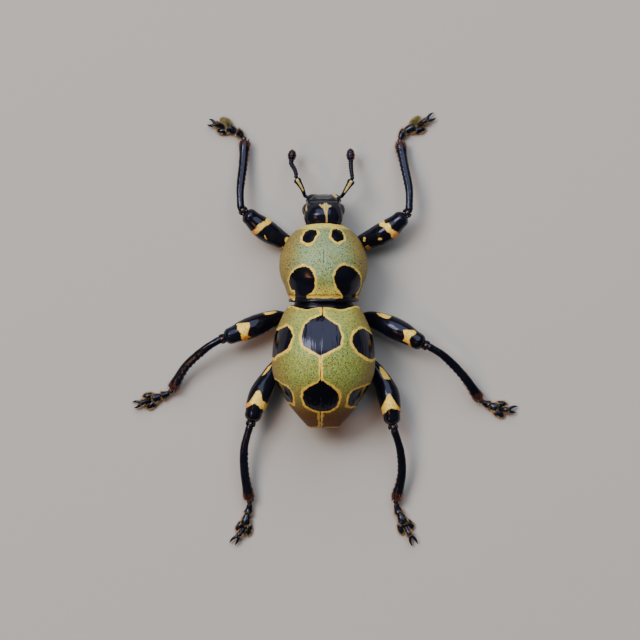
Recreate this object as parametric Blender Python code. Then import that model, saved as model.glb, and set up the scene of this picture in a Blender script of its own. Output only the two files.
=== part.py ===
"""A metallic orb-spotted weevil at life size, still, standing on its six feet as a spread museum specimen.

Metres, +Z up, head towards +Y. The origin is on the floor, under the middle of the spread of the legs.
"""

import math

import bmesh
import bpy
from mathutils import Matrix, Vector

MM = 0.001

# Driving sizes, in millimetres
BODY_AXIS_X = -0.14
BELLY_HEIGHT = 1.25
BODY_GAP = 0.3
LIMB_GAP = 0.2
EYE_GAP = 0.12

ELYTRA_FRONT = 1.62
ELYTRA_APEX = -6.71
PROTHORAX_FRONT = 7.28
PROTHORAX_BASE = ELYTRA_FRONT + BODY_GAP
HEAD_BACK = PROTHORAX_FRONT + BODY_GAP
THORAX_BACK = -1.45
ABDOMEN_FRONT = THORAX_BACK - BODY_GAP
ABDOMEN_END = -6.3
SUTURE_DEPTH = 0.09
SUTURE_HALF_ANGLE = math.radians(2.2)
VENTRITE_SUTURES = (-3.15, -4.35, -4.85, -5.35)
VENTRITE_GROOVE = 0.06
GROOVE_HALF_LENGTH = 0.07

COXA_RADII = (0.62, 0.66, 0.52)
FEMUR_CLUB = 0.77
TIBIA_SHAFT = 0.29
FOOT_LOBE = (0.44, 0.3, 0.24)
FOOT_LOBE_SPREAD = 0.3
FOOT_LOBE_HEIGHT = 0.16
FOOT_LOBE_TURN = 0.35
TOE_ROOT_OFFSET = 0.05
CLAW_ROOT = 0.13
CLAW_ROOT_DEPTH = 0.12
CLAW_SPREAD = 0.2
CLAW_BEND = 0.08
CLAW_BEND_PLACE = 0.55
FLOOR_CUT_SIZE = 8.0
FUNICLE_BEADS = 7
FUNICLE_NECK = 0.21
FUNICLE_SWELL = 0.05
HEAD_RINGS = 13

LACQUER_BLACK = (0.006, 0.007, 0.012)
SCALE_GREEN = (0.30, 0.37, 0.15)
HAIR_ORANGE = (0.26, 0.12, 0.04)


class Profile:
    """A smooth curve through a few (place, value) stations, which never overshoots between them."""

    def __init__(self, stations):
        stations = sorted(stations)
        self.places = [place for place, _ in stations]
        self.values = [value for _, value in stations]
        steps = [b - a for a, b in zip(self.places, self.places[1:])]
        rises = [(b - a) / step for a, b, step in zip(self.values, self.values[1:], steps)]
        self.slopes = [rises[0]]
        for before, after in zip(rises, rises[1:]):
            same_way = before * after > 0
            self.slopes.append(2 * before * after / (before + after) if same_way else 0.0)
        self.slopes.append(rises[-1])

    def __call__(self, place):
        place = min(max(place, self.places[0]), self.places[-1])
        index = 0
        while index < len(self.places) - 2 and place > self.places[index + 1]:
            index += 1
        span = self.places[index + 1] - self.places[index]
        t = (place - self.places[index]) / span
        start, end = self.values[index], self.values[index + 1]
        leave, arrive = self.slopes[index] * span, self.slopes[index + 1] * span
        return (
            (2 * t**3 - 3 * t**2 + 1) * start
            + (t**3 - 2 * t**2 + t) * leave
            + (3 * t**2 - 2 * t**3) * end
            + (t**3 - t**2) * arrive
        )


# Half widths of the trunk along Y, and its heights above the belly line
ELYTRA_HALF_WIDTH = Profile(
    [(1.62, 2.30), (1.38, 2.58), (0.69, 2.92), (0.0, 3.23), (-1.03, 3.47), (-2.06, 3.54), (-2.89, 3.47),
     (-3.75, 3.17), (-4.6, 2.68), (-5.3, 2.20), (-5.95, 1.65), (-6.4, 1.24), (-6.6, 1.04), (-6.71, 0.84)]
)
ELYTRA_TOP = Profile(
    [(1.62, 3.87), (1.25, 4.27), (0.3, 4.9), (-0.8, 5.35), (-1.9, 5.5), (-3.0, 5.35), (-4.1, 4.81),
     (-5.1, 3.98), (-5.9, 3.1), (-6.4, 2.43), (-6.71, 1.87)]
)
ELYTRA_LEVEL = Profile([(1.62, 2.45), (-2.0, 2.25), (-5.0, 1.95), (-6.71, 1.6)])
ELYTRA_MARGIN = Profile([(1.62, 1.65), (-2.0, 1.4), (-5.0, 1.3), (-6.71, 1.27)])
PROTHORAX_HALF_WIDTH = Profile(
    [(7.28, 1.28), (7.12, 1.5), (6.98, 1.74), (6.74, 2.02), (6.54, 2.2), (6.33, 2.36), (6.12, 2.5), (5.64, 2.74),
     (5.16, 2.91), (4.5, 3.03), (3.78, 2.94), (3.1, 2.68), (2.7, 2.48), (2.35, 2.42), (2.2, 2.33), (2.06, 2.42),
     (1.92, 2.38)]
)
PROTHORAX_TOP = Profile(
    [(7.28, 3.13), (6.95, 3.51), (6.5, 3.87), (5.6, 4.37), (4.6, 4.6), (3.7, 4.57), (2.9, 4.27), (2.35, 4.01),
     (2.2, 3.89), (2.06, 3.99), (1.92, 3.95)]
)
PROTHORAX_BOTTOM = Profile([(7.28, 0.81), (6.8, 0.47), (6.0, 0.17), (4.6, 0.0), (3.0, 0.05), (1.92, 0.3)])
THORAX_HALF_WIDTH = Profile([(1.62, 1.95), (0.6, 2.5), (-0.5, 2.9), (-1.45, 3.08)])
THORAX_BOTTOM = Profile([(1.62, 0.45), (0.8, 0.13), (-0.5, 0.0), (-1.45, 0.03)])
ABDOMEN_HALF_WIDTH = Profile(
    [(-1.75, 3.12), (-2.9, 3.02), (-3.9, 2.66), (-4.8, 2.18), (-5.5, 1.65), (-6.0, 1.15), (-6.3, 0.72)]
)
ABDOMEN_BOTTOM = Profile([(-1.75, 0.01), (-3.0, 0.03), (-4.4, 0.17), (-5.4, 0.39), (-6.0, 0.59), (-6.3, 0.73)])

# Head and snout: dorsal (y, z), ventral (y, z) and half width, with z above the belly line
HEAD_STATIONS = (
    ((7.58, 3.03), (7.58, 0.77), 1.32),
    ((8.02, 3.05), (7.84, 0.57), 1.34),
    ((8.48, 2.77), (8.02, 0.48), 1.3),
    ((8.84, 2.25), (8.18, 0.41), 1.25),
    ((9.11, 1.65), (8.34, 0.32), 1.18),
    ((9.29, 1.1), (8.52, 0.2), 1.12),
    ((9.35, 0.67), (8.70, 0.07), 1.03),
    ((9.24, 0.35), (8.88, 0.01), 0.7),
)
EYE_PLACE = (1.2, 8.24, 1.55)
EYE_RADII = (0.27, 0.42, 0.46)
MANDIBLE_PLACE = (0.27, 9.02, 0.13)
MANDIBLE_RADII = (0.3, 0.26, 0.26)

# Feelers and legs: the points of the pose, from the joint outward, above the floor
FEELERS = {
    "left": {
        "scape": ((-1.42, 9.2, 2.18), (-1.62, 9.75, 2.48), (-2.02, 10.42, 2.65)),
        "funicle": ((-2.02, 10.7, 2.4), (-2.12, 11.02, 2.02), (-2.35, 11.42, 1.55)),
        "club": ((-2.35, 11.62, 1.34), (-2.3, 12.02, 1.25), (-2.26, 12.42, 1.16)),
    },
    "right": {
        "scape": ((1.12, 9.18, 2.18), (1.4, 9.62, 2.42), (1.84, 10.32, 2.65)),
        "funicle": ((1.82, 10.6, 2.4), (1.77, 10.98, 2.02), (1.74, 11.4, 1.55)),
        "club": ((1.74, 11.6, 1.34), (1.72, 12.04, 1.25), (1.71, 12.5, 1.16)),
    },
}
LEGS = {
    "front_left": {
        "coxa": (-0.88, 4.95, 0.98),
        "femur": ((-2.72, 6.0, 1.0), (-4.26, 6.97, 1.55), (-5.56, 8.1, 1.85)),
        "tibia": ((-5.82, 8.34, 1.85), (-5.86, 9.7, 1.62), (-5.68, 11.3, 1.14), (-5.55, 13.0, 0.62)),
        "foot": ((-5.68, 13.28, 0.46), (-5.9, 13.52, 0.4), (-6.36, 13.72, 0.34), (-6.9, 13.96, 0.3),
                 (-7.66, 14.18, 0.42), (-8.08, 14.32, 0.2)),
    },
    "front_right": {
        "coxa": (0.6, 4.95, 0.98),
        "femur": ((2.48, 5.98, 1.0), (4.1, 6.74, 1.55), (5.52, 7.92, 1.85)),
        "tibia": ((5.74, 8.2, 1.85), (5.74, 9.7, 1.62), (5.42, 11.3, 1.14), (5.13, 12.86, 0.62)),
        "foot": ((5.1, 13.1, 0.48), (5.3, 13.5, 0.4), (5.68, 13.76, 0.34), (6.28, 14.02, 0.3),
                 (7.0, 14.46, 0.42), (7.53, 14.79, 0.2)),
    },
    "middle_left": {
        "coxa": (-1.3, 0.3, 0.98),
        "femur": ((-3.3, 0.82, 1.0), (-5.15, 0.15, 1.7), (-6.98, -0.58, 2.05)),
        "tibia": ((-7.24, -0.64, 2.05), (-8.3, -1.32, 1.82), (-9.62, -2.52, 1.3), (-10.54, -4.05, 0.62)),
        "foot": ((-10.72, -4.32, 0.48), (-11.1, -4.47, 0.4), (-11.52, -4.62, 0.34), (-12.0, -4.82, 0.3),
                 (-12.76, -5.05, 0.42), (-13.24, -5.16, 0.2)),
    },
    "middle_right": {
        "coxa": (1.02, 0.3, 0.98),
        "femur": ((3.08, 0.74, 1.0), (4.98, 0.0, 1.7), (6.8, -1.02, 2.05)),
        "tibia": ((7.05, -1.09, 2.05), (8.2, -1.84, 1.82), (9.5, -3.18, 1.3), (10.6, -4.74, 0.62)),
        "foot": ((10.78, -4.96, 0.48), (11.12, -5.1, 0.4), (11.48, -5.24, 0.34), (11.94, -5.42, 0.3),
                 (12.62, -5.5, 0.42), (13.18, -5.44, 0.2)),
    },
    "hind_left": {
        "coxa": (-1.72, -1.6, 0.98),
        "femur": ((-3.2, -2.36, 0.98), (-4.14, -3.74, 1.6), (-4.74, -5.06, 1.95), (-5.1, -6.32, 2.05)),
        "tibia": ((-5.2, -6.6, 2.05), (-5.58, -8.1, 1.72), (-5.56, -9.8, 1.22), (-5.24, -11.66, 0.62)),
        "foot": ((-5.2, -11.92, 0.48), (-5.28, -12.42, 0.4), (-5.42, -12.9, 0.34), (-5.56, -13.55, 0.3),
                 (-6.02, -14.2, 0.42), (-6.43, -14.72, 0.2)),
    },
    "hind_right": {
        "coxa": (1.44, -1.6, 0.98),
        "femur": ((3.04, -2.34, 0.98), (4.06, -3.8, 1.6), (4.46, -5.16, 1.95), (4.6, -6.55, 2.05)),
        "tibia": ((4.7, -6.82, 2.05), (5.14, -8.3, 1.72), (5.24, -9.9, 1.22), (4.86, -11.66, 0.62)),
        "foot": ((4.84, -11.92, 0.48), (4.98, -12.4, 0.4), (5.2, -12.84, 0.34), (5.46, -13.45, 0.3),
                 (5.86, -14.16, 0.42), (6.16, -14.79, 0.2)),
    },
}

# Radii along each limb, from its root (0) to its end (1)
FEMUR_RADIUS = Profile([(0, 0.28), (0.04, 0.36), (0.2, 0.44), (0.42, 0.62), (0.62, FEMUR_CLUB), (0.76, 0.71),
                        (0.87, 0.59), (0.95, 0.56), (0.99, 0.44), (1, 0.22)])
TIBIA_RADIUS = Profile([(0, 0.2), (0.03, 0.26), (0.12, 0.26), (0.4, TIBIA_SHAFT), (0.8, 0.31), (0.96, 0.37),
                        (1, 0.3)])
SCAPE_RADIUS = Profile([(0, 0.2), (0.05, 0.25), (0.6, 0.25), (0.93, 0.29), (1, 0.22)])
CLUB_RADIUS = Profile([(0, 0.2), (0.08, 0.25), (0.5, 0.3), (0.85, 0.22), (1, 0.08)])
TOE_RADIUS = Profile([(0, 0.2), (0.1, 0.24), (0.8, 0.25), (1, 0.18)])
CLAW_RADIUS = Profile([(0, CLAW_ROOT), (0.5, 0.1), (1, 0.03)])


def clear_scene():
    """Removes whatever the start-up file brought."""
    for item in list(bpy.data.objects):
        bpy.data.objects.remove(item, do_unlink=True)


def collection(name, hidden=False):
    """A collection under the scene, with its objects kept out of the model when hidden."""
    made = bpy.data.collections.new(name)
    bpy.context.scene.collection.children.link(made)
    made.hide_render = hidden
    return made


def material(name, colour, roughness):
    """A Principled material of one colour."""
    made = bpy.data.materials.new(name)
    made.use_nodes = True
    shader = made.node_tree.nodes["Principled BSDF"]
    shader.inputs["Base Color"].default_value = (*colour, 1)
    shader.inputs["Roughness"].default_value = roughness
    shader.inputs["Metallic"].default_value = 0.0
    return made


def at(place):
    """A point in metres from one in millimetres."""
    return Vector(place) * MM


def mesh_object(name, shape, group):
    """A smooth-shaded object that holds a finished bmesh."""
    mesh = bpy.data.meshes.new(name)
    bmesh.ops.recalc_face_normals(shape, faces=shape.faces)
    shape.to_mesh(mesh)
    shape.free()
    mesh.shade_smooth()
    mesh.set_sharp_from_angle(angle=math.radians(50))
    made = bpy.data.objects.new(name, mesh)
    group.objects.link(made)
    return made


def loft(name, rings, group):
    """A closed solid through rings of equally many points, with a flat cap at each end."""
    shape = bmesh.new()
    rows = [[shape.verts.new(point) for point in ring] for ring in rings]
    count = len(rows[0])
    for lower, upper in zip(rows, rows[1:]):
        for side in range(count):
            after = (side + 1) % count
            shape.faces.new((lower[side], lower[after], upper[after], upper[side]))
    for row in (rows[0], rows[-1]):
        centre = shape.verts.new(sum((vert.co for vert in row), Vector()) / count)
        for side in range(count):
            shape.faces.new((row[side], row[(side + 1) % count], centre))
    return mesh_object(name, shape, group)


def upright_turns(sides, groove=False):
    """The angles round a ring, with two close beside the top for a groove along the back."""
    turns = [2 * math.pi * side / sides for side in range(sides)]
    if groove:
        top = math.pi / 2
        turns += [top - SUTURE_HALF_ANGLE, top + SUTURE_HALF_ANGLE]
    return sorted(turns)


def ring_between(dorsal, ventral, half_width, turns, level=0.5, above=2.0, below=2.0, groove=0.0):
    """A ring in the plane through a dorsal and a ventral (y, z) point, widest at its level.

    Heights are above the belly line. above and below are superellipse powers: 2 is round, more is squarer.
    """
    lift = Vector((0, 0, BELLY_HEIGHT))
    top, bottom = Vector((0, *dorsal)) + lift, Vector((0, *ventral)) + lift
    middle = bottom.lerp(top, level)
    ring = []
    for turn in turns:
        across, up = math.cos(turn), math.sin(turn)
        power = 2 / (above if up >= 0 else below)
        reach = (top - middle) if up >= 0 else (middle - bottom)
        point = middle + reach * math.copysign(abs(up) ** power, up)
        if abs(turn - math.pi / 2) < 1e-6:
            point = point - reach.normalized() * groove
        point.x = BODY_AXIS_X + half_width * math.copysign(abs(across) ** power, across)
        ring.append(at(point))
    return ring


def eased(start, end, count, ease_end=True):
    """Places from start to end, closer together at the start and, where it is eased, at the end."""
    turn = math.pi if ease_end else math.pi / 2
    whole = 1 - math.cos(turn)
    return [start + (end - start) * (1 - math.cos(turn * step / count)) / whole for step in range(count + 1)]


def ball(name, centre, radii, group, segments=12, rings=8, grow=0.0):
    """An ellipsoid, in millimetres, that a cutter makes larger by grow."""
    shape = bmesh.new()
    bmesh.ops.create_uvsphere(shape, u_segments=segments, v_segments=rings, radius=1)
    stretch = Matrix.Diagonal((*[(radius + grow) * MM for radius in radii], 1))
    bmesh.ops.transform(shape, matrix=Matrix.Translation(at(centre)) @ stretch, verts=shape.verts)
    return mesh_object(name, shape, group)


def smooth_path(points, count):
    """Evenly counted points of a Catmull-Rom curve through a few points, in millimetres."""
    knots = [Vector(point) for point in points]
    knots = [2 * knots[0] - knots[1], *knots, 2 * knots[-1] - knots[-2]]
    spans = len(knots) - 3
    path = []
    for step in range(count + 1):
        place = spans * step / count
        index = min(int(place), spans - 1)
        t = place - index
        a, b, c, d = knots[index : index + 4]
        path.append(
            0.5 * (2 * b + (c - a) * t + (2 * a - 5 * b + 4 * c - d) * t**2 + (3 * b - a - 3 * c + d) * t**3)
        )
    return path


def limb(name, points, radius_at, group, count=14, sides=8):
    """A round tapering limb: a curve with a bevel along a smooth path, made a closed mesh."""
    path = smooth_path(points, count)
    curve = bpy.data.curves.new(name + "_line", "CURVE")
    curve.dimensions = "3D"
    curve.bevel_depth = MM
    curve.bevel_resolution = (sides - 4) // 2
    curve.use_fill_caps = True
    spline = curve.splines.new("POLY")
    spline.points.add(count)
    for step, point in enumerate(path):
        spline.points[step].co = (*at(point), 1)
        spline.points[step].radius = radius_at(step / count)
    line = bpy.data.objects.new(name + "_line", curve)
    group.objects.link(line)
    bpy.context.view_layer.update()
    mesh = bpy.data.meshes.new_from_object(line.evaluated_get(bpy.context.evaluated_depsgraph_get()))
    bpy.data.objects.remove(line, do_unlink=True)
    shape = bmesh.new()
    shape.from_mesh(mesh)
    bpy.data.meshes.remove(mesh)
    bmesh.ops.remove_doubles(shape, verts=shape.verts, dist=1e-7)
    return mesh_object(name, shape, group)


def largest_surface(shape):
    """Removes every closed surface of a bmesh but the one of the greatest volume."""
    unseen = set(shape.faces)
    islands = []
    while unseen:
        island, edge = [], [unseen.pop()]
        while edge:
            face = edge.pop()
            island.append(face)
            for side in face.edges:
                for other in side.link_faces:
                    if other in unseen:
                        unseen.remove(other)
                        edge.append(other)
        islands.append(island)

    def volume(island):
        total = 0.0
        for face in island:
            first = face.verts[0].co
            for b, c in zip(face.verts[1:], face.verts[2:]):
                total += first.dot(b.co.cross(c.co)) / 6
        return abs(total)

    islands.sort(key=volume)
    for island in islands[:-1]:
        bmesh.ops.delete(shape, geom=island, context="FACES")
    loose = [vert for vert in shape.verts if not vert.link_faces]
    bmesh.ops.delete(shape, geom=loose, context="VERTS")


def combined(target, others, operation):
    """Joins or cuts a solid with all the others at once, and removes them."""
    tools = bpy.data.collections.new(target.name + "_tools")
    for other in others:
        for group in list(other.users_collection):
            group.objects.unlink(other)
        tools.objects.link(other)
    step = target.modifiers.new(operation.title(), "BOOLEAN")
    step.operation = operation
    step.operand_type = "COLLECTION"
    step.collection = tools
    step.solver = "EXACT"
    bpy.context.view_layer.update()
    mesh = bpy.data.meshes.new_from_object(target.evaluated_get(bpy.context.evaluated_depsgraph_get()))
    target.modifiers.clear()
    shape = bmesh.new()
    shape.from_mesh(mesh)
    bpy.data.meshes.remove(mesh)
    bmesh.ops.triangulate(shape, faces=shape.faces)
    largest_surface(shape)
    shape.to_mesh(target.data)
    shape.free()
    for other in others:
        bpy.data.objects.remove(other, do_unlink=True)
    bpy.data.collections.remove(tools)
    return target


def build_elytra(group):
    """The fused wing cases: one dome with a fine groove along the suture."""
    turns = upright_turns(36, groove=True)
    rings = []
    for y in eased(ELYTRA_FRONT, ELYTRA_APEX, 22):
        top, bottom = ELYTRA_TOP(y), ELYTRA_MARGIN(y)
        level = (ELYTRA_LEVEL(y) - bottom) / (top - bottom)
        rings.append(
            ring_between((y, top), (y, bottom), ELYTRA_HALF_WIDTH(y), turns, level, 2.15, 3.2, SUTURE_DEPTH)
        )
    return loft("elytra", rings, group)


def build_prothorax(group):
    """The barrel of the first thorax ring, with the groove in front of its rear rim."""
    turns = upright_turns(32)
    places = eased(PROTHORAX_FRONT, 2.4, 12, ease_end=False) + [2.28, 2.2, 2.12, 2.02, PROTHORAX_BASE]
    rings = [
        ring_between((y, PROTHORAX_TOP(y)), (y, PROTHORAX_BOTTOM(y)), PROTHORAX_HALF_WIDTH(y), turns, 0.46, 2.1, 2.1)
        for y in places
    ]
    return loft("prothorax", rings, group)


def build_pterothorax(group):
    """The second and third thorax rings, which lie under the front of the wing cases."""
    turns = upright_turns(26)
    rings = []
    for y in eased(ELYTRA_FRONT, THORAX_BACK, 8, ease_end=False):
        top = ELYTRA_MARGIN(y) - BODY_GAP
        rings.append(
            ring_between((y, top), (y, THORAX_BOTTOM(y)), THORAX_HALF_WIDTH(y), turns, 0.72, 5.0, 2.0)
        )
    return loft("pterothorax", rings, group)


def build_abdomen(group):
    """The belly under the wing cases, with a groove between each two of its five plates."""
    turns = upright_turns(26)
    places = [ABDOMEN_FRONT, -2.1, -2.6, -3.9]
    for suture in VENTRITE_SUTURES:
        places += [suture + GROOVE_HALF_LENGTH, suture, suture - GROOVE_HALF_LENGTH]
    places += [-5.7, -6.0, -6.2, ABDOMEN_END]
    rings = []
    for y in sorted(set(places), reverse=True):
        depth = VENTRITE_GROOVE if y in VENTRITE_SUTURES else 0.0
        top = ELYTRA_MARGIN(y) - BODY_GAP
        rings.append(
            ring_between((y, top), (y, ABDOMEN_BOTTOM(y) + depth), ABDOMEN_HALF_WIDTH(y) - depth, turns, 0.7, 5.0, 2.0)
        )
    return loft("abdomen", rings, group)


def beside(place, way):
    """A point above the floor from one given by its distance from the body's middle plane and the belly line."""
    return (BODY_AXIS_X + way * place[0], place[1], BELLY_HEIGHT + place[2])


def build_head(group):
    """The head with its short stout snout bent down, and the jaws at its tip."""
    turns = upright_turns(26)
    last = len(HEAD_STATIONS) - 1
    lines = {
        "dorsal_y": Profile([(k, s[0][0]) for k, s in enumerate(HEAD_STATIONS)]),
        "dorsal_z": Profile([(k, s[0][1]) for k, s in enumerate(HEAD_STATIONS)]),
        "ventral_y": Profile([(k, s[1][0]) for k, s in enumerate(HEAD_STATIONS)]),
        "ventral_z": Profile([(k, s[1][1]) for k, s in enumerate(HEAD_STATIONS)]),
        "width": Profile([(k, s[2]) for k, s in enumerate(HEAD_STATIONS)]),
    }
    rings = []
    for step in range(HEAD_RINGS):
        place = last * step / (HEAD_RINGS - 1)
        dorsal = (lines["dorsal_y"](place), lines["dorsal_z"](place))
        ventral = (lines["ventral_y"](place), lines["ventral_z"](place))
        rings.append(ring_between(dorsal, ventral, lines["width"](place), turns, 0.5, 2.4, 2.3))
    head = loft("head", rings, group)
    jaws = [
        ball(f"jaw_{side}", beside(MANDIBLE_PLACE, way), MANDIBLE_RADII, group, 10, 6)
        for side, way in (("left", -1), ("right", 1))
    ]
    return combined(head, jaws, "UNION")


def eye_centre(way):
    """The middle of an eye, on the side given by way."""
    return beside(EYE_PLACE, way)


def build_eye(side, way, group):
    """One eye: a low round lens set in the side of the head."""
    return ball(f"eye_{side}", eye_centre(way), EYE_RADII, group, 16, 10)


def bead_radius(place):
    """The radius along a funicle: a string of beads, each widest past its middle."""
    beat = (place * FUNICLE_BEADS) % 1.0
    return FUNICLE_NECK + FUNICLE_SWELL * math.sin(math.pi * beat)


def build_feeler(side, group):
    """One elbowed feeler: a long first joint, a string of beads and a club."""
    lines = FEELERS[side]
    return [
        limb(f"feeler_{side}_scape", lines["scape"], SCAPE_RADIUS, group, 8),
        limb(f"feeler_{side}_funicle", lines["funicle"], bead_radius, group, 2 * FUNICLE_BEADS),
        limb(f"feeler_{side}_club", lines["club"], CLUB_RADIUS, group, 8),
    ]


def femur_path(leg):
    """The thigh's line: it starts where it clears its hip joint by the limb gap."""
    hip, first = Vector(leg["coxa"]), Vector(leg["femur"][0])
    start = hip + (first - hip).normalized() * (COXA_RADII[0] + LIMB_GAP)
    return [start, *leg["femur"]]


def build_foot(name, leg, group):
    """Three short joints, the third in two lobes, and the claw joint with its two claws."""
    ankle, first, second, pad, toe, tip = [Vector(point) for point in leg["foot"]]
    heading = (toe - second).normalized()
    level_heading = Vector((heading.x, heading.y, 0)).normalized()
    across = Vector((-level_heading.y, level_heading.x, 0))
    yaw = math.atan2(level_heading.y, level_heading.x)
    toe_root = pad + heading * TOE_ROOT_OFFSET
    base = limb(name, (ankle, first, first.lerp(second, 0.5)), Profile([(0, 0.2), (0.5, 0.31), (1, 0.2)]), group, 4)
    pieces = [
        limb("second_joint", (first, second, pad), Profile([(0, 0.2), (0.6, 0.34), (1, 0.26)]), group, 4),
        limb("claw_joint", (toe_root, toe_root.lerp(toe, 0.5), toe), TOE_RADIUS, group, 4, sides=6),
    ]
    for way in (-1, 1):
        centre = pad + across * (way * FOOT_LOBE_SPREAD)
        lobe = ball(f"lobe_{way}", (0, 0, 0), FOOT_LOBE, group, 10, 6)
        turn = Matrix.Rotation(yaw + way * FOOT_LOBE_TURN, 4, "Z")
        lobe.data.transform(Matrix.Translation(at((centre.x, centre.y, FOOT_LOBE_HEIGHT))) @ turn)
        pieces.append(lobe)
        root = toe - heading * CLAW_ROOT_DEPTH
        end = tip + across * (way * CLAW_SPREAD)
        bend = root.lerp(end, CLAW_BEND_PLACE) + across * (way * CLAW_BEND) + Vector((0, 0, CLAW_BEND))
        pieces.append(limb(f"claw_{way}", (root, bend, end), CLAW_RADIUS, group, 4, sides=6))
    foot = combined(base, pieces, "UNION")
    below = bmesh.new()
    bmesh.ops.create_cube(below, size=1)
    middle = at((pad.x, pad.y, -FLOOR_CUT_SIZE / 2))
    place = Matrix.Translation(middle) @ Matrix.Scale(FLOOR_CUT_SIZE * MM, 4)
    bmesh.ops.transform(below, matrix=place, verts=below.verts)
    floor = mesh_object("floor_cut", below, group)
    return combined(foot, [floor], "DIFFERENCE")


def build_leg(name, leg, group):
    """One leg: the hip joint, the clubbed thigh, the shank and the foot."""
    return {
        "coxa": ball(f"leg_{name}_coxa", leg["coxa"], COXA_RADII, group),
        "femur": limb(f"leg_{name}_femur", femur_path(leg), FEMUR_RADIUS, group, 16, sides=12),
        "tibia": limb(f"leg_{name}_tibia", leg["tibia"], TIBIA_RADIUS, group, 14),
        "tarsus": build_foot(f"leg_{name}_tarsus", leg, group),
    }


def hip_cutters(names, group):
    """The hollows that the hip joints of these legs turn in."""
    return [
        ball(f"hip_hollow_{name}", LEGS[name]["coxa"], COXA_RADII, group, 14, 10, grow=LIMB_GAP) for name in names
    ]


def main():
    """Builds the weevil, one object for each named part."""
    clear_scene()
    weevil = collection("weevil")
    cutters = collection("cutters", hidden=True)
    elytra = build_elytra(weevil)
    prothorax = build_prothorax(weevil)
    pterothorax = build_pterothorax(weevil)
    abdomen = build_abdomen(weevil)
    head = build_head(weevil)
    eyes = [build_eye(side, way, weevil) for side, way in (("left", -1), ("right", 1))]
    combined(prothorax, hip_cutters(("front_left", "front_right"), cutters), "DIFFERENCE")
    rear_hips = ("hind_left", "hind_right")
    combined(pterothorax, hip_cutters(("middle_left", "middle_right", *rear_hips), cutters), "DIFFERENCE")
    combined(abdomen, hip_cutters(rear_hips, cutters), "DIFFERENCE")
    sockets = [ball(f"socket_{way}", eye_centre(way), EYE_RADII, cutters, 14, 8, EYE_GAP) for way in (-1, 1)]
    combined(head, sockets, "DIFFERENCE")
    feelers = [piece for side in FEELERS for piece in build_feeler(side, weevil)]
    legs = [build_leg(name, leg, weevil) for name, leg in LEGS.items()]

    lacquer = material("black_lacquer", LACQUER_BLACK, 0.12)
    scales = material("green_scales", SCALE_GREEN, 0.45)
    lens = material("eye_lens", LACQUER_BLACK, 0.08)
    brush = material("foot_brush", HAIR_ORANGE, 0.6)
    dressed = {
        scales: [elytra, prothorax],
        lens: eyes,
        brush: [leg["tarsus"] for leg in legs],
        lacquer: [pterothorax, abdomen, head, *feelers],
    }
    for leg in legs:
        dressed[lacquer] += [leg["coxa"], leg["femur"], leg["tibia"]]
    for finish, pieces in dressed.items():
        for piece in pieces:
            piece.data.materials.clear()
            piece.data.materials.append(finish)


main()
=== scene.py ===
"""Looks of a spotted snout weevil at life size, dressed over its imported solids.

Sizes are in millimetres and become metres where a mesh is made. The head points along +Y, the floor is z = 0.
"""

import logging
import math
from collections.abc import Callable, Sequence
from dataclasses import dataclass, field, replace
from enum import Enum

import bpy
import numpy as np
from bpy.types import Material, Mesh, Node, NodeOutputs, NodeSocket, NodeTree, Object
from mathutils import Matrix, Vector, noise


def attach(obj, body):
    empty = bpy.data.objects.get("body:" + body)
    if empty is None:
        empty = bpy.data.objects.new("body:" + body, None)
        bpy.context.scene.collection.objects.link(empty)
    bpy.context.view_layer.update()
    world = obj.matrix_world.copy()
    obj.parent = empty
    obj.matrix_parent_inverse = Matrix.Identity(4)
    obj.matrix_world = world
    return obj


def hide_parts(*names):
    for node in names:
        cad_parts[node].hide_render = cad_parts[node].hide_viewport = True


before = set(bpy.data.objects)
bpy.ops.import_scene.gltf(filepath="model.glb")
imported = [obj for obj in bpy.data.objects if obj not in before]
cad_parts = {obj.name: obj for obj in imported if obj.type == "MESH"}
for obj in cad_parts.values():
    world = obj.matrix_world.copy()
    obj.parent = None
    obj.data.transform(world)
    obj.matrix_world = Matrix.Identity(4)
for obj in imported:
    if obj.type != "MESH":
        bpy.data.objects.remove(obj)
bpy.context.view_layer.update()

LOG = logging.getLogger("weevil")
MM = 0.001
ROOT = "root"
UNWRAP_MAP = "OFBake"
BODY_AXIS = -0.14
BELLY = 1.25

Array = np.ndarray
Point = tuple[float, float, float]
Flat = tuple[float, float]
Colour = tuple[float, float, float]


class Slot(Enum):
    """The material slots."""

    SCALED = "scaled_shell"
    BLACK = "black_shell"
    EYE = "eye"
    FOOT = "foot"


class Side(Enum):
    """A side of the body, with the way that it lies along X."""

    LEFT = -1
    RIGHT = 1

    @property
    def word(self) -> str:
        """The side's name in a node's name."""
        return self.name.lower()


# Numbers and curves


def rise(low: float, high: float, value: Array) -> Array:
    """A smooth step from 0 at low to 1 at high, which falls where high lies below low."""
    t = np.clip((value - low) / (high - low), 0.0, 1.0)
    return t * t * (3 - 2 * t)


def hump(distance: Array, reach: float) -> Array:
    """A bell of height 1 that has faded to a third at reach."""
    return np.exp(-((distance / reach) ** 2))


def mixed(first: Array, second: Array | Colour, share: Array) -> Array:
    """Colours between two, by a share of the second for each point."""
    share = np.asarray(share)[..., None]
    return first * (1 - share) + np.asarray(second) * share


def circle(count: int) -> Array:
    """Even turns round a ring, from 0."""
    return np.linspace(0, 2 * math.pi, count, endpoint=False)


def powered(value: Array, power: Array | float) -> Array:
    """A value between -1 and 1 raised to a power, with its sign kept."""
    return np.copysign(np.abs(value) ** power, value)


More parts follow.
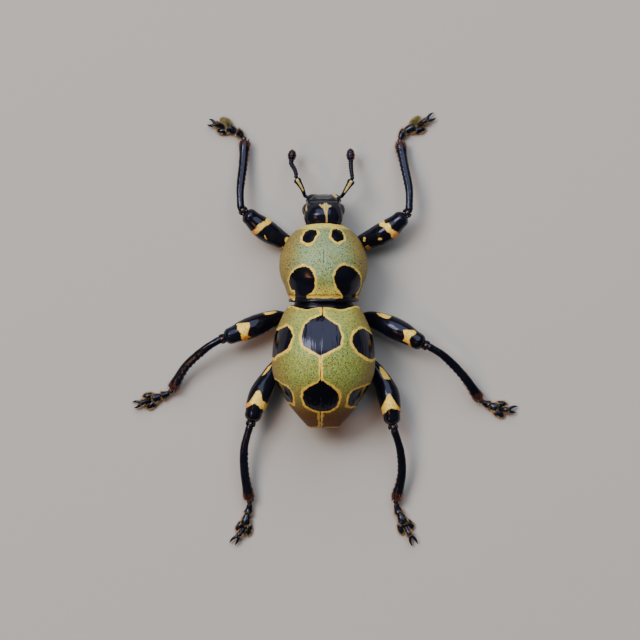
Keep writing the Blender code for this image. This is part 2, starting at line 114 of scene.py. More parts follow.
class Curve:
    """A smooth curve through (place, value) stations, which never overshoots between them."""

    def __init__(self, stations: Sequence[Flat]) -> None:
        """Keeps the stations and works out a slope at each.

        Args:
            stations: the (place, value) pairs, in any order.
        """
        ordered = sorted(stations)
        self.places = np.array([place for place, _ in ordered], float)
        self.values = np.array([value for _, value in ordered], float)
        rises = np.diff(self.values) / np.diff(self.places)
        before, after = rises[:-1], rises[1:]
        same_way = before * after > 0
        inner = np.where(same_way, 2 * before * after / np.where(same_way, before + after, 1.0), 0.0)
        self.slopes = np.concatenate([rises[:1], inner, rises[-1:]])

    def __call__(self, place: Array | float) -> Array:
        """The curve's value.

        Args:
            place: where to read it.

        Returns:
            The value at each place, held past the ends.
        """
        place = np.clip(place, self.places[0], self.places[-1])
        index = np.clip(np.searchsorted(self.places, place) - 1, 0, len(self.places) - 2)
        span = self.places[index + 1] - self.places[index]
        t = (place - self.places[index]) / span
        return (
            (2 * t**3 - 3 * t**2 + 1) * self.values[index]
            + (t**3 - 2 * t**2 + t) * self.slopes[index] * span
            + (3 * t**2 - 2 * t**3) * self.values[index + 1]
            + (t**3 - t**2) * self.slopes[index + 1] * span
        )


def smooth_line(points: Sequence[Point], places: Array) -> Array:
    """Points of a Catmull-Rom line.

    Args:
        points: the few points that the line goes through.
        places: where to read it, from 0 at the first point to 1 at the last.

    Returns:
        One point for each place.
    """
    knots = np.array(points, float)
    knots = np.vstack([2 * knots[0] - knots[1], knots, 2 * knots[-1] - knots[-2]])
    spans = len(knots) - 3
    place = np.clip(places, 0, 1) * spans
    index = np.minimum(place.astype(int), spans - 1)
    t = (place - index)[:, None]
    a, b, c, d = (knots[index + k] for k in range(4))
    return 0.5 * (2 * b + (c - a) * t + (2 * a - 5 * b + 4 * c - d) * t**2 + (3 * b - a - 3 * c + d) * t**3)


def wobble(points: Array, wavelength: float, seed: float) -> Array:
    """Smooth noise from -1 to 1.

    Args:
        points: places in millimetres, in any array of points.
        wavelength: the size of its swells.
        seed: a shift that gives another pattern.

    Returns:
        One number for each point.
    """
    flat = points.reshape(-1, 3) / wavelength + seed
    values = np.array([noise.noise(Vector(place)) for place in flat])
    return np.clip(values * 1.6, -1, 1).reshape(points.shape[:-1])


def swells(points: Array, waves: Sequence[Point]) -> Array:
    """The sum of wobbles, each given by its height, its wavelength and its seed."""
    return sum(height * wobble(points, wavelength, seed) for height, wavelength, seed in waves)


def outline_distance(x: Array, y: Array, outline: Array) -> Array:
    """Distance to a closed outline in the plane.

    Args:
        x: the places' first coordinates.
        y: their second coordinates.
        outline: the outline's corners, two numbers each.

    Returns:
        The distance at each place, positive inside.
    """
    nearest = np.full(x.shape, np.inf)
    inside = np.zeros(x.shape, bool)
    for (ax, ay), (bx, by) in zip(outline, np.roll(outline, -1, axis=0)):
        dx, dy = bx - ax, by - ay
        share = np.clip(((x - ax) * dx + (y - ay) * dy) / max(dx * dx + dy * dy, 1e-12), 0, 1)
        nearest = np.minimum(nearest, (x - ax - share * dx) ** 2 + (y - ay - share * dy) ** 2)
        crosses = (ay > y) != (by > y)
        inside ^= crosses & (x < ax + dx * (y - ay) / (dy if dy else 1e-12))
    return np.where(inside, 1, -1) * np.sqrt(nearest)


def softened(outline: Sequence[Flat]) -> Array:
    """An outline with its corners cut a little.

    Args:
        outline: the corners.

    Returns:
        Two points for each corner.
    """
    corners = np.array(outline, float)
    after = np.roll(corners, -1, axis=0)
    return np.stack([0.88 * corners + 0.12 * after, 0.12 * corners + 0.88 * after], axis=1).reshape(-1, 2)


# Grids of points and the meshes made from them


def around(values: Array) -> Array:
    """The step between the two neighbours of each point along its ring."""
    return np.roll(values, -1, axis=1) - np.roll(values, 1, axis=1)


@dataclass
class Grid:
    """Rings of equally many points in millimetres, each closed on itself, which bound a solid."""

    points: Array
    values: dict[str, Array] = field(default_factory=dict)

    def normals(self) -> Array:
        """Unit normals that point outward.

        Returns:
            One normal for each point.
        """
        normal = np.cross(around(self.points), np.gradient(self.points, axis=0))
        normal /= np.maximum(np.linalg.norm(normal, axis=-1, keepdims=True), 1e-12)
        outward = self.points - self.points.mean(axis=1, keepdims=True)
        return normal * (1 if (normal * outward).sum() > 0 else -1)

    def only(self, name: str, spread: Array) -> Mesh:
        """The grid's mesh as the ground of a coat, which grows where spread is above 0.

        Args:
            name: the mesh's name.
            spread: how far inside the coat's edge each point lies.

        Returns:
            The mesh.
        """
        ground = Grid(self.points, dict(self.values))
        ground.values["spread"] = np.broadcast_to(spread, self.points.shape[:2]).copy()
        return ground.mesh(name)

    def push(self, height: Array) -> None:
        """Moves each point out along its normal."""
        self.points = self.points + self.normals() * height[..., None]

    def true_distance(self, charted: Array) -> Array:
        """Turns a distance measured on a flat chart into one along the surface.

        Args:
            charted: the chart's signed distance at each point.

        Returns:
            The signed distance in millimetres, true near its zero line.
        """
        a, da = np.gradient(self.points, axis=0), np.gradient(charted, axis=0)
        b, db = around(self.points) / 2, around(charted) / 2
        aa, ab, bb = (a * a).sum(-1), (a * b).sum(-1), (b * b).sum(-1)
        spread = np.maximum(aa * bb - ab * ab, 1e-12)
        steepness = np.sqrt(np.maximum((bb * da**2 - 2 * ab * da * db + aa * db**2) / spread, 0))
        return charted / np.clip(steepness, 0.35, 3.0)

    def mesh(self, name: str) -> Mesh:
        """The closed mesh of the grid, with its values as attributes and an unwrap of its own rings.

        Args:
            name: the mesh's name.

        Returns:
            The mesh, in metres.
        """
        rings, sides = self.points.shape[:2]
        ends = [self.points[0].mean(axis=0), self.points[-1].mean(axis=0)]
        places = np.vstack([self.points.reshape(-1, 3), *ends])
        index = np.arange(rings * sides).reshape(rings, sides)
        after = np.roll(index, -1, axis=1)
        quads = np.stack([index[:-1], after[:-1], after[1:], index[1:]], axis=-1).reshape(-1, 4)
        first = np.stack([after[0], index[0], np.full(sides, rings * sides)], axis=-1)
        last = np.stack([index[-1], after[-1], np.full(sides, rings * sides + 1)], axis=-1)
        corners = places[quads]
        middle = places.mean(axis=0)
        volume = (np.cross(corners[:, 0] - middle, corners[:, 1] - middle) * (corners[:, 2] - middle)).sum()
        way = 1 if volume > 0 else -1
        side = np.arange(sides)
        u = np.stack([side, side + 1, side + 1, side], axis=-1) / sides
        low = np.arange(1, rings)[:, None, None]
        v = np.broadcast_to(low + np.array([0, 0, 1, 1]), (rings - 1, sides, 4)) / (rings + 1)
        quad_map = np.stack([np.broadcast_to(u, (rings - 1, sides, 4)), v], axis=-1).reshape(-1, 4, 2)
        cap_u = np.stack([side + 1, side, side + 0.5], axis=-1) / sides
        first_map = np.stack([cap_u, np.broadcast_to([1, 1, 0], (sides, 3)) / (rings + 1)], axis=-1)
        last_u = np.stack([side, side + 1, side + 0.5], axis=-1) / sides
        last_v = np.broadcast_to([rings, rings, rings + 1], (sides, 3)) / (rings + 1)
        last_map = np.stack([last_u, last_v], axis=-1)
        faces = [part[:, ::way].tolist() for part in (quads, first, last)]
        mesh = bpy.data.meshes.new(name)
        mesh.from_pydata((places * MM).tolist(), [], faces[0] + faces[1] + faces[2])
        charts = [part[:, ::way].reshape(-1, 2) for part in (quad_map, first_map, last_map)]
        mesh.uv_layers.new(name=UNWRAP_MAP).data.foreach_set("uv", np.concatenate(charts).ravel())
        grid_u = np.broadcast_to(side / sides, (rings, sides))
        grid_v = np.broadcast_to((np.arange(rings)[:, None] + 1) / (rings + 1), (rings, sides))
        self.values["unwrap"] = np.stack([grid_u, grid_v, np.zeros((rings, sides))], axis=-1)
        for key, values in self.values.items():
            write_attribute(mesh, key, values)
        mesh.shade_smooth()
        return mesh


def write_attribute(mesh: Mesh, key: str, values: Array) -> None:
    """Stores a grid's values on its mesh, where the two end points take their ring's mean.

    Args:
        mesh: the mesh made from the grid.
        key: the attribute's name.
        values: one number, vector or colour for each point of the grid.
    """
    width = values.shape[-1] if values.ndim == 3 else 1
    rows = values.reshape(len(values), -1, width)
    flat = np.vstack([rows.reshape(-1, width), rows[0].mean(axis=0), rows[-1].mean(axis=0)])
    flat = flat.astype(np.float32)
    kind, slot = {1: ("FLOAT", "value"), 3: ("FLOAT_VECTOR", "vector"), 4: ("FLOAT_COLOR", "color")}[width]
    mesh.attributes.new(key, kind, "POINT").data.foreach_set(slot, flat.ravel())


def as_colour(colours: Array) -> Array:
    """Colours with an opaque fourth channel."""
    return np.concatenate([colours, np.ones((*colours.shape[:-1], 1))], axis=-1)


def link(name: str, mesh: Mesh) -> Object:
    """A new object at the origin that holds the mesh.

    Args:
        name: its name.
        mesh: the mesh.

    Returns:
        The object.
    """
    piece = bpy.data.objects.new(name, mesh)
    bpy.context.scene.collection.objects.link(piece)
    return piece


def shrink_chart(mesh: Mesh, start: float, width: float) -> None:
    """Moves a mesh's unwrap into a strip of the chart, so that joined meshes don't share a place on it.

    Args:
        mesh: the mesh.
        start: where the strip starts, from 0 to 1.
        width: how wide it is.
    """
    for data, slot, size in (
        (mesh.uv_layers[UNWRAP_MAP].data, "uv", 2),
        (mesh.attributes["unwrap"].data, "vector", 3),
    ):
        flat = np.empty(len(data) * size, np.float32)
        data.foreach_get(slot, flat)
        flat[::size] = start + width * flat[::size]
        data.foreach_set(slot, flat)


def joined(name: str, meshes: Sequence[Mesh]) -> Mesh:
    """One mesh from several closed ones, with their attributes.

    Args:
        name: the new mesh's name.
        meshes: the meshes to put together, which are used up.

    Returns:
        The joined mesh.
    """
    parts = []
    for k, mesh in enumerate(meshes):
        shrink_chart(mesh, k / len(meshes), 0.94 / len(meshes))
        parts.append(link(f"{name}_part_{k}", mesh))
    with bpy.context.temp_override(active_object=parts[0], selected_editable_objects=parts):
        bpy.ops.object.join()
    mesh = parts[0].data
    bpy.data.objects.remove(parts[0])
    mesh.name = name
    return mesh


def place(
    name: str, mesh: Mesh, finish: Material, slot: Slot, stands_for: Sequence[str] = ()
) -> Object:
    """Puts a finished piece in the scene, riding on the one body.

    Args:
        name: the piece's name.
        mesh: its final mesh.
        finish: its material, where the mesh has none yet.
        slot: the slot that the finish belongs to; not used.
        stands_for: the solids that the piece replaces.

    Returns:
        The piece.
    """
    piece = link(name, mesh)
    if not mesh.materials:
        mesh.materials.append(finish)
    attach(piece, ROOT)
    if stands_for:
        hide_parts(*stands_for)
    LOG.info("%s: %d faces", name, len(mesh.polygons))
    return piece


# Node trees


class Nodes:
    """A short way to fill a node tree."""

    def __init__(self, tree: NodeTree) -> None:
        """Starts on a tree, which is cleared."""
        tree.nodes.clear()
        self.tree = tree

    def add(
        self, kind: str, inputs: dict[str | int, object] | None = None, **settings: object
    ) -> Node:
        """Adds a node.

        Args:
            kind: the node's type name.
            inputs: values or sockets for its inputs, by name or number.
            settings: its own properties.

        Returns:
            The node.
        """
        made = self.tree.nodes.new(kind)
        for key, value in settings.items():
            setattr(made, key, value)
        for key, value in (inputs or {}).items():
            if isinstance(value, NodeSocket):
                self.tree.links.new(value, made.inputs[key])
            else:
                made.inputs[key].default_value = value
        return made

    def out(self, kind: str, inputs: dict[str | int, object], **settings: object) -> NodeSocket:
        """Adds a node and gives its first output."""
        return self.add(kind, inputs, **settings).outputs[0]

    def math(self, operation: str, *values: object) -> NodeSocket:
        """The result of a Math node on numbers or sockets."""
        return self.out("ShaderNodeMath", dict(enumerate(values)), operation=operation)

    def vector(self, operation: str, inputs: dict[str | int, object]) -> NodeSocket:
        """The result of a Vector Math node."""
        return self.out("ShaderNodeVectorMath", inputs, operation=operation)

    def step(self, value: NodeSocket, low: float, high: float) -> NodeSocket:
        """A smooth 0 to 1 step of a value between low and high."""
        ends = {0: value, 1: low, 2: high, 3: 0.0, 4: 1.0}
        return self.out("ShaderNodeMapRange", ends, interpolation_type="SMOOTHSTEP")

    def noise(self, at: NodeSocket, scale: float, detail: float = 2.0) -> NodeSocket:
        """Noise from 0 to 1 over a place."""
        return self.out("ShaderNodeTexNoise", {"Vector": at, "Scale": scale, "Detail": detail})

    def attribute(self, name: str, output: str = "Fac") -> NodeSocket:
        """One of the piece's attributes, as a number or a colour."""
        return self.add("ShaderNodeAttribute", attribute_name=name).outputs[output]

    def bump(self, strength: float, distance: float, height: NodeSocket) -> NodeSocket:
        """The normal of a fine relief."""
        return self.out("ShaderNodeBump", {"Strength": strength, "Distance": distance, "Height": height})

    def blend(self, share: object, first: object, second: object, way: str = "MIX") -> NodeSocket:
        """A colour between two, each a socket or a colour.

        Args:
            share: how much of the second, a number or a socket.
            first: the colour at 0.
            second: the colour at 1.
            way: the blend mode.

        Returns:
            The mixed colour's socket.
        """
        values = {key: (*value, 1) if isinstance(value, tuple) else value
                  for key, value in ((0, share), (6, first), (7, second))}
        return self.add("ShaderNodeMix", values, data_type="RGBA", blend_type=way).outputs[2]


class NamedTree:
    """A geometry tree with named inputs, whose own nodes a subclass adds."""

    NAME = "tree"
    INPUTS: dict[str, str] = {}

    def __init__(self) -> None:
        """Makes the inputs and the nodes, and ends the tree with its finish."""
        self.tree = bpy.data.node_groups.new(self.NAME, "GeometryNodeTree")
        socket = self.tree.interface.new_socket
        socket("Geometry", in_out="OUTPUT", socket_type="NodeSocketGeometry")
        for name, kind in {"Geometry": "Geometry", **self.INPUTS, "Finish": "Material"}.items():
            socket(name, in_out="INPUT", socket_type=f"NodeSocket{kind}")
        n = Nodes(self.tree)
        given = n.add("NodeGroupInput").outputs
        ended = {0: self.fill(n, given), "Material": given["Finish"]}
        n.add("NodeGroupOutput", {"Geometry": n.out("GeometryNodeSetMaterial", ended)})

    def fill(self, n: Nodes, given: NodeOutputs) -> NodeSocket:
        """Adds the tree's nodes to its given inputs, up to Realize Instances or past it."""
        raise NotImplementedError

    def run(self, name: str, ground: Mesh, values: dict[str, object]) -> Mesh:
        """Runs the tree on a mesh.

        Args:
            name: the new mesh's name.
            ground: what goes in.
            values: the tree's inputs by name.

        Returns:
            What comes out, as a plain mesh with one finish.
        """
        holder = link(name, ground)
        step = holder.modifiers.new("tree", "NODES")
        step.node_group = self.tree
        for socket in self.tree.interface.items_tree:
            if socket.in_out == "INPUT" and socket.name in values:
                step[socket.identifier] = values[socket.name]
        bpy.context.view_layer.update()
        depsgraph = bpy.context.evaluated_depsgraph_get()
        mesh = bpy.data.meshes.new_from_object(holder.evaluated_get(depsgraph))
        mesh.name = name
        mesh.materials.clear()
        mesh.materials.append(values["Finish"])
        bpy.data.objects.remove(holder, do_unlink=True)
        return mesh


# Finishes


@dataclass(frozen=True)
class Tones:
    """The colours of the weevil, as light that a surface sends back."""

    lacquer: Colour = (0.0030, 0.0031, 0.0055)
    lacquer_light: Colour = (0.006, 0.007, 0.014)
    gloss: Colour = (0.60, 0.64, 1.0)
    under_scales: Colour = (0.06, 0.06, 0.015)
    green: Colour = (0.305, 0.380, 0.098)
    sky_green: Colour = (0.270, 0.365, 0.185)
    # tan also paints the scales' colour shift on the flanks and warm light towards the tail; amber paints
    # shade on the wing cases' tip and also draws the line behind the prothorax's base bar.
    tan: Colour = (0.330, 0.225, 0.048)
    amber: Colour = (0.125, 0.043, 0.004)
    gold: Colour = (1.0, 0.77, 0.13)
    front_yellow: Colour = (0.84, 0.79, 0.19)
    cream: Colour = (1.0, 0.74, 0.14)
    bone: Colour = (1.0, 0.84, 0.36)
    rust: Colour = (0.85, 0.30, 0.02)
    hair_orange: Colour = (0.50, 0.19, 0.035)
    hair_olive: Colour = (0.17, 0.14, 0.035)
    hair_brown: Colour = (0.12, 0.045, 0.018)
    membrane: Colour = (0.012, 0.007, 0.006)
    eye: Colour = (0.006, 0.005, 0.006)
    eye_depth: Colour = (0.020, 0.011, 0.008)


TONES = Tones()
PIT_SCALE = 9400.0
BARE_PIT = 0.42
DARK_PIT = 0.26
DIM_PIT = 0.33
RIM_LOW = 0.11
RIM_HIGH = 0.19
STREAK_SCALES = (4200.0, 380.0, 2400.0)
RIM_FADE = 0.6
RIM_SWELLS = ((0.05, 0.30, 6.6), (0.03, 0.10, 1.6), (0.045, 0.9, 4.4))
RUST_LINE = (0.09, 0.03)
SCALE_STEP = (-0.02, 0.03)
TAILWARD = (0.0, -1.0, 0.0)


@dataclass(frozen=True)
class Finish:
    """A material of nodes on Object coordinates; a subclass says what its shader gets."""

    name: str

    def shader(self, n: Nodes, at: NodeSocket) -> dict[str, object]:
        """The shader's inputs, with nodes that read the place at hand."""
        raise NotImplementedError

    def build(self) -> Material:
        """The finish as a material.

        Returns:
            The material, whose one shader ends its nodes.
        """
        finish = bpy.data.materials.new(self.name)
        finish.use_nodes = True
        n = Nodes(finish.node_tree)
        at = n.add("ShaderNodeTexCoord").outputs["Object"]
        shader = n.out("ShaderNodeBsdfPrincipled", self.shader(n, at))
        n.add("ShaderNodeOutputMaterial", {"Surface": shader})
        return finish


@dataclass(frozen=True)
class ShellFinish(Finish):
    """Black lacquer, bare or under a dense coat of scales where the piece says so.

    A piece's spread attribute is its distance inside the edge of the scales in millimetres,
    and its pigment attribute is their colour.
    """

    scaled: bool
    pit_depth: float = 0.25
    roughness: float = 0.13
    streak: float = 0.0

    def shader(self, n: Nodes, at: NodeSocket) -> dict[str, object]:
        """Lacquer with pits, grain and streaks along the body, and the ground tone of dense scales.

        Args:
            n: the helper on the tree.
            at: the place on the object.

        Returns:
            The shader's inputs.
        """
        pits = n.add("ShaderNodeTexVoronoi", {"Vector": at, "Scale": PIT_SCALE}).outputs["Distance"]
        grain, cloud = n.noise(at, 9000.0, 3.0), n.noise(at, 420.0, 3.0)
        bare = n.blend(n.step(cloud, 0.35, 0.7), TONES.lacquer, TONES.lacquer_light)
        colour, rough, metal = bare, n.math("MULTIPLY_ADD", cloud, 0.10, self.roughness - 0.05), 0.0
        height = n.math("MULTIPLY", n.step(pits, 0.04, DIM_PIT), self.pit_depth)
        if self.scaled:
            spread = n.attribute("spread")
            covered = n.step(spread, -0.012, 0.012)
            closed = n.math("MAXIMUM", n.step(pits, DARK_PIT, DIM_PIT), n.step(spread, RIM_HIGH, RIM_LOW))
            between = n.math("MULTIPLY", covered, closed)
            dimmed = n.blend(0.24, n.attribute("pigment", "Color"), TONES.under_scales)
            colour = n.blend(between, bare, dimmed)
            rough = n.math("MULTIPLY_ADD", between, 0.32, rough)
            metal = n.math("MULTIPLY", between, 0.10)
        streaks = n.noise(n.vector("MULTIPLY", {0: at, 1: STREAK_SCALES}), 1.0)
        relief = n.math("MULTIPLY_ADD", grain, 0.10, n.math("MULTIPLY_ADD", streaks, self.streak, height))
        return {
            "Base Color": colour,
            "Roughness": rough,
            "Metallic": metal,
            "Normal": n.bump(0.5, 0.00002, relief),
            "IOR": 1.40,
            "Specular Tint": (*TONES.gloss, 1.0),
        }


@dataclass(frozen=True)
class ScaleFinish(Finish):
    """Loose flakes of scale: each has the shell's own pigment there, a little lighter or darker."""

    roughness: float = 0.42
    metallic: float = 0.15

    def shader(self, n: Nodes, at: NodeSocket) -> dict[str, object]:
        """Pigment that varies in clouds and from flake to flake.

        Args:
            n: the helper on the tree.
            at: the place on the object.

        Returns:
            The shader's inputs.
        """
        chance, pigment = n.attribute("chance"), n.attribute("pigment", "Color")
        warm = n.blend(n.step(n.noise(at, 1500.0), 0.40, 0.68), pigment, (1.12, 1.0, 0.72), "MULTIPLY")
        cool = n.blend(n.step(chance, 0.6, 1.0), warm, (0.88, 1.04, 1.12), "MULTIPLY")
        lightness = n.math("MULTIPLY_ADD", chance, 0.62, 0.68)
        shade = n.out("ShaderNodeCombineColor", {0: lightness, 1: lightness, 2: lightness})
        return {
            "Base Color": n.blend(1.0, cool, shade, "MULTIPLY"),
            "Roughness": n.math("MULTIPLY_ADD", chance, 0.14, self.roughness - 0.07),
            "Metallic": self.metallic,
            "Normal": n.bump(0.35, 0.000008, n.noise(at, 26000.0)),
            "IOR": 1.34,
        }


@dataclass(frozen=True)
class BristleFinish(Finish):
    """Bristles and joint skin: one colour, varied from hair to hair."""

    colour: Colour
    tip: Colour
    roughness: float = 0.45

    def shader(self, n: Nodes, at: NodeSocket) -> dict[str, object]:
        """Two close tones in clouds, with a fine grain."""
        cloud = n.noise(at, 3000.0)
        return {
            "Base Color": n.blend(n.step(cloud, 0.36, 0.64), self.colour, self.tip),
            "Roughness": n.math("MULTIPLY_ADD", cloud, 0.2, self.roughness - 0.1),
            "Normal": n.bump(0.3, 0.00001, n.noise(at, 24000.0)),
            "IOR": 1.5,
        }


@dataclass(frozen=True)
class EyeFinish(Finish):
    """The dark lens of a compound eye, with a faint brown depth."""

    def shader(self, n: Nodes, at: NodeSocket) -> dict[str, object]:
        """A dark glossy tone with brown clouds under a clear coat."""
        cloud = n.noise(at, 2600.0)
        return {
            "Base Color": n.blend(n.step(cloud, 0.35, 0.7), TONES.eye, TONES.eye_depth),
            "Roughness": n.math("MULTIPLY_ADD", cloud, 0.08, 0.08),
            "IOR": 1.5,
            "Coat Weight": 0.5,
            "Coat Roughness": 0.04,
        }


@dataclass(frozen=True)
class PlainFinish(Finish):
    """One plain matt tone."""

    colour: Colour
    roughness: float = 0.8

    def shader(self, n: Nodes, at: NodeSocket) -> dict[str, object]:
        """The tone and its roughness."""
        return {"Base Color": (*self.colour, 1), "Roughness": self.roughness}


@dataclass
class Finishes:
    """Every material of the weevil, made once."""

    shell: Material
    patched: Material
    bare: Material
    flakes: Material
    orange: Material
    olive: Material
    brown: Material
    membrane: Material
    eye: Material

    @classmethod
    def make(cls) -> "Finishes":
        """Builds the materials."""
        return cls(
            shell=ShellFinish("scaled_lacquer", True, 0.10, 0.15, 3.2).build(),
            patched=ShellFinish("patched_lacquer", True, 0.10, 0.16).build(),
            bare=ShellFinish("black_lacquer", False, 0.12, 0.17).build(),
            flakes=ScaleFinish("scale_flakes").build(),
            orange=BristleFinish("orange_bristles", TONES.hair_orange, (0.36, 0.12, 0.025)).build(),
            olive=BristleFinish("olive_bristles", TONES.hair_olive, (0.36, 0.31, 0.15)).build(),
            brown=BristleFinish("brown_bristles", TONES.hair_brown, (0.30, 0.08, 0.03)).build(),
            membrane=BristleFinish("joint_skin", TONES.membrane, (0.03, 0.012, 0.008), 0.3).build(),
            eye=EyeFinish("eye_lens").build(),
        )


# The coat: what grows on a surface in great number


@dataclass(frozen=True)
class Growth:
    """How scales or bristles stand on a skin.

    spacing is the least distance between two roots, and lean the angle by which one rises from the skin.
    """

    spacing: float
    length: float
    width: float
    lean: float
    lean_jitter: float = 8.0
    turn_jitter: float = 20.0
    size_low: float = 0.8
    size_high: float = 1.2
    sink: float = 0.004
    pitted: bool = False
    seed: int = 1


SCALE_GROWTH = Growth(0.044, 0.080, 0.060, 7.0, 5.0, 24.0, pitted=True, seed=11)


class FlakeShape(Enum):
    """What one item of a coat looks like."""

    SCALE = "scale"
    BRISTLE = "bristle"


def flake_mesh(shape: FlakeShape, growth: Growth) -> Mesh:
    """One closed item that lies along +Y from its root at the origin.

    Args:
        shape: which item to make.
        growth: its length and width.

    Returns:
        The mesh, with its own outline as the leaf attribute from -1 to 1.
    """
    length, half = growth.length * MM, growth.width * MM / 2
    if shape is FlakeShape.SCALE:
        outline = [(-0.6, 0.08), (-1.0, 0.5), (-0.66, 0.92), (0.66, 0.92), (1.0, 0.5), (0.6, 0.08)]
        crown, under = (0.0, 0.5 * length, 0.16 * half), (0.0, 0.4 * length, -0.30 * half)
        places = [*((x * half, y * length, 0.0) for x, y in outline), crown, under]
        count = len(outline)
        faces = [(k, (k + 1) % count, count) for k in range(count)]
        faces += [((k + 1) % count, k, count + 1) for k in range(count)]
    else:
        places = []
        for along, wide, up in ((0.0, 1.0, 0.0), (0.45, 0.9, 0.02), (0.8, 0.55, 0.07)):
            for k in range(3):
                turn = 2 * math.pi * k / 3 + math.pi / 2
                height = half * wide * math.sin(turn) + up * length
                places.append((half * wide * math.cos(turn), along * length, height))
        places.append((0.0, length, 0.15 * length))
        faces = [(0, 2, 1)]
        for level in (0, 3):
            for k in range(3):
                a, b = level + k, level + (k + 1) % 3
                faces.append((a, b, b + 3, a + 3))
        faces += [(6 + k, 6 + (k + 1) % 3, 9) for k in range(3)]
    mesh = bpy.data.meshes.new(f"{shape.value}_pattern")
    mesh.from_pydata(places, [], [face[::-1] for face in faces])
    leaf = np.array([(x / half, 2 * y / length - 1, 0.0) for x, y, _ in places])
    mesh.attributes.new("leaf", "FLOAT_VECTOR", "POINT").data.foreach_set("vector", leaf.ravel())
    return mesh


